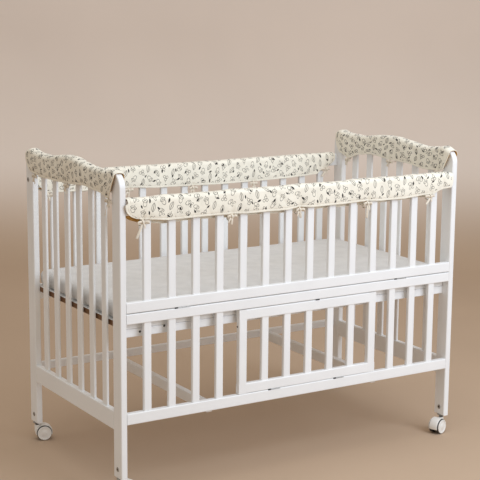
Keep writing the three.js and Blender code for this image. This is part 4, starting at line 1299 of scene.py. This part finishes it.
class RAILCOVER_OT_paint(bpy.types.Operator):
    """Lacquers every wooden piece of the crib"""

    bl_idname = "rail_cover.paint"
    bl_label = "Lacquer crib"

    def execute(self, context):
        lacquer = lacquered_wood(context.scene.rail_cover.crib.paint)
        for name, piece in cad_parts.items():
            if name.startswith(WOODEN):
                piece.material_slots[0].material = lacquer
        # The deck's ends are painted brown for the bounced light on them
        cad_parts["deck"].material_slots[0].material = deck_with_painted_bounce(context.scene.rail_cover.crib.paint)
        return {"FINISHED"}


class RAILCOVER_OT_covers(bpy.types.Operator):
    """Sews the four covers and ties them down"""

    bl_idname = "rail_cover.covers"
    bl_label = "Sew covers"

    def execute(self, context):
        settings = context.scene.rail_cover.cover
        # The rail side and the end covers' rims get the ochre painted shade. Each hem of the rail side keeps
        # a cream band
        unshaded_band = (settings.ground, settings.unshaded_band)
        rail_side_painted_shade = plain_cloth("plain_cotton_rail_side_painted_shade", settings.rail_side_painted_shade, 1.3, 60.0, 1.0, unshaded_band)
        rim_painted_shade = plain_cloth("plain_cotton_rim_painted_shade", settings.rail_side_painted_shade, 1.3, 60.0, 1.0)
        long_print = printed_cotton("printed_cotton_long", settings, 1.0, 1.0)
        end_print = printed_cotton("printed_cotton_end", settings, settings.end_print, END_STRETCH)
        long_cloths = [long_print, rail_side_painted_shade, long_print]
        end_cloths = [end_print, rail_side_painted_shade, rim_painted_shade]
        ribbon_cloth = plain_cloth("grosgrain_ribbon", settings.tie, 1.1, 14.0, 0.6)
        for side in COVERS:
            on_end = side in ("left", "right")
            ties = tie_bows(side, ribbon_cloth)
            piece, long, wide = sew_cover(side, settings, end_cloths if on_end else long_cloths)
            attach(piece, "root")
            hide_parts(f"cover_{side}")
        return {"FINISHED"}


class RAILCOVER_OT_mattress(bpy.types.Operator):
    """Makes the mattress in its cover"""

    bl_idname = "rail_cover.mattress"
    bl_label = "Sew mattress"

    def execute(self, context):
        sew_mattress(context.scene.rail_cover.crib)
        return {"FINISHED"}


class RAILCOVER_OT_casters(bpy.types.Operator):
    """Fits the four casters"""

    bl_idname = "rail_cover.casters"
    bl_label = "Fit casters"

    def execute(self, context):
        fit_casters(context.scene.rail_cover.crib)
        return {"FINISHED"}


class RAILCOVER_OT_hardware(bpy.types.Operator):
    """Fits the bolts, hinges and catch"""

    bl_idname = "rail_cover.hardware"
    bl_label = "Fit hardware"

    def execute(self, context):
        fit_hardware()
        return {"FINISHED"}


STEPS = (
    RAILCOVER_OT_studio,
    RAILCOVER_OT_paint,
    RAILCOVER_OT_covers,
    RAILCOVER_OT_mattress,
    RAILCOVER_OT_casters,
    RAILCOVER_OT_hardware,
)


class RAILCOVER_PT_panel(bpy.types.Panel):
    """Lists the settings and the steps in order"""

    bl_idname = "RAILCOVER_PT_panel"
    bl_label = "Rail covers"
    bl_space_type = "VIEW_3D"
    bl_region_type = "UI"
    bl_category = "Rail covers"

    def draw(self, context):
        settings = context.scene.rail_cover
        for group in (settings.cover, settings.crib, settings.studio):
            box = self.layout.box()
            for name in group.__annotations__:
                box.prop(group, name)
        for step in STEPS:
            self.layout.operator(step.bl_idname)


CLASSES = (CoverSettings, CribSettings, StudioSettings, RailCoverSettings, *STEPS, RAILCOVER_PT_panel)


def register():
    """Registers every class and hangs the settings on the scene."""
    for item in CLASSES:
        bpy.utils.register_class(item)
    bpy.types.Scene.rail_cover = PointerProperty(type=RailCoverSettings)


def unregister():
    """Takes the settings and the classes away again."""
    del bpy.types.Scene.rail_cover
    for item in reversed(CLASSES):
        bpy.utils.unregister_class(item)


def main():
    """Registers the classes and runs every step in order."""
    register()
    for step in STEPS:
        group, name = step.bl_idname.split(".")
        getattr(getattr(bpy.ops, group), name)()


if __name__ == "__main__":
    main()
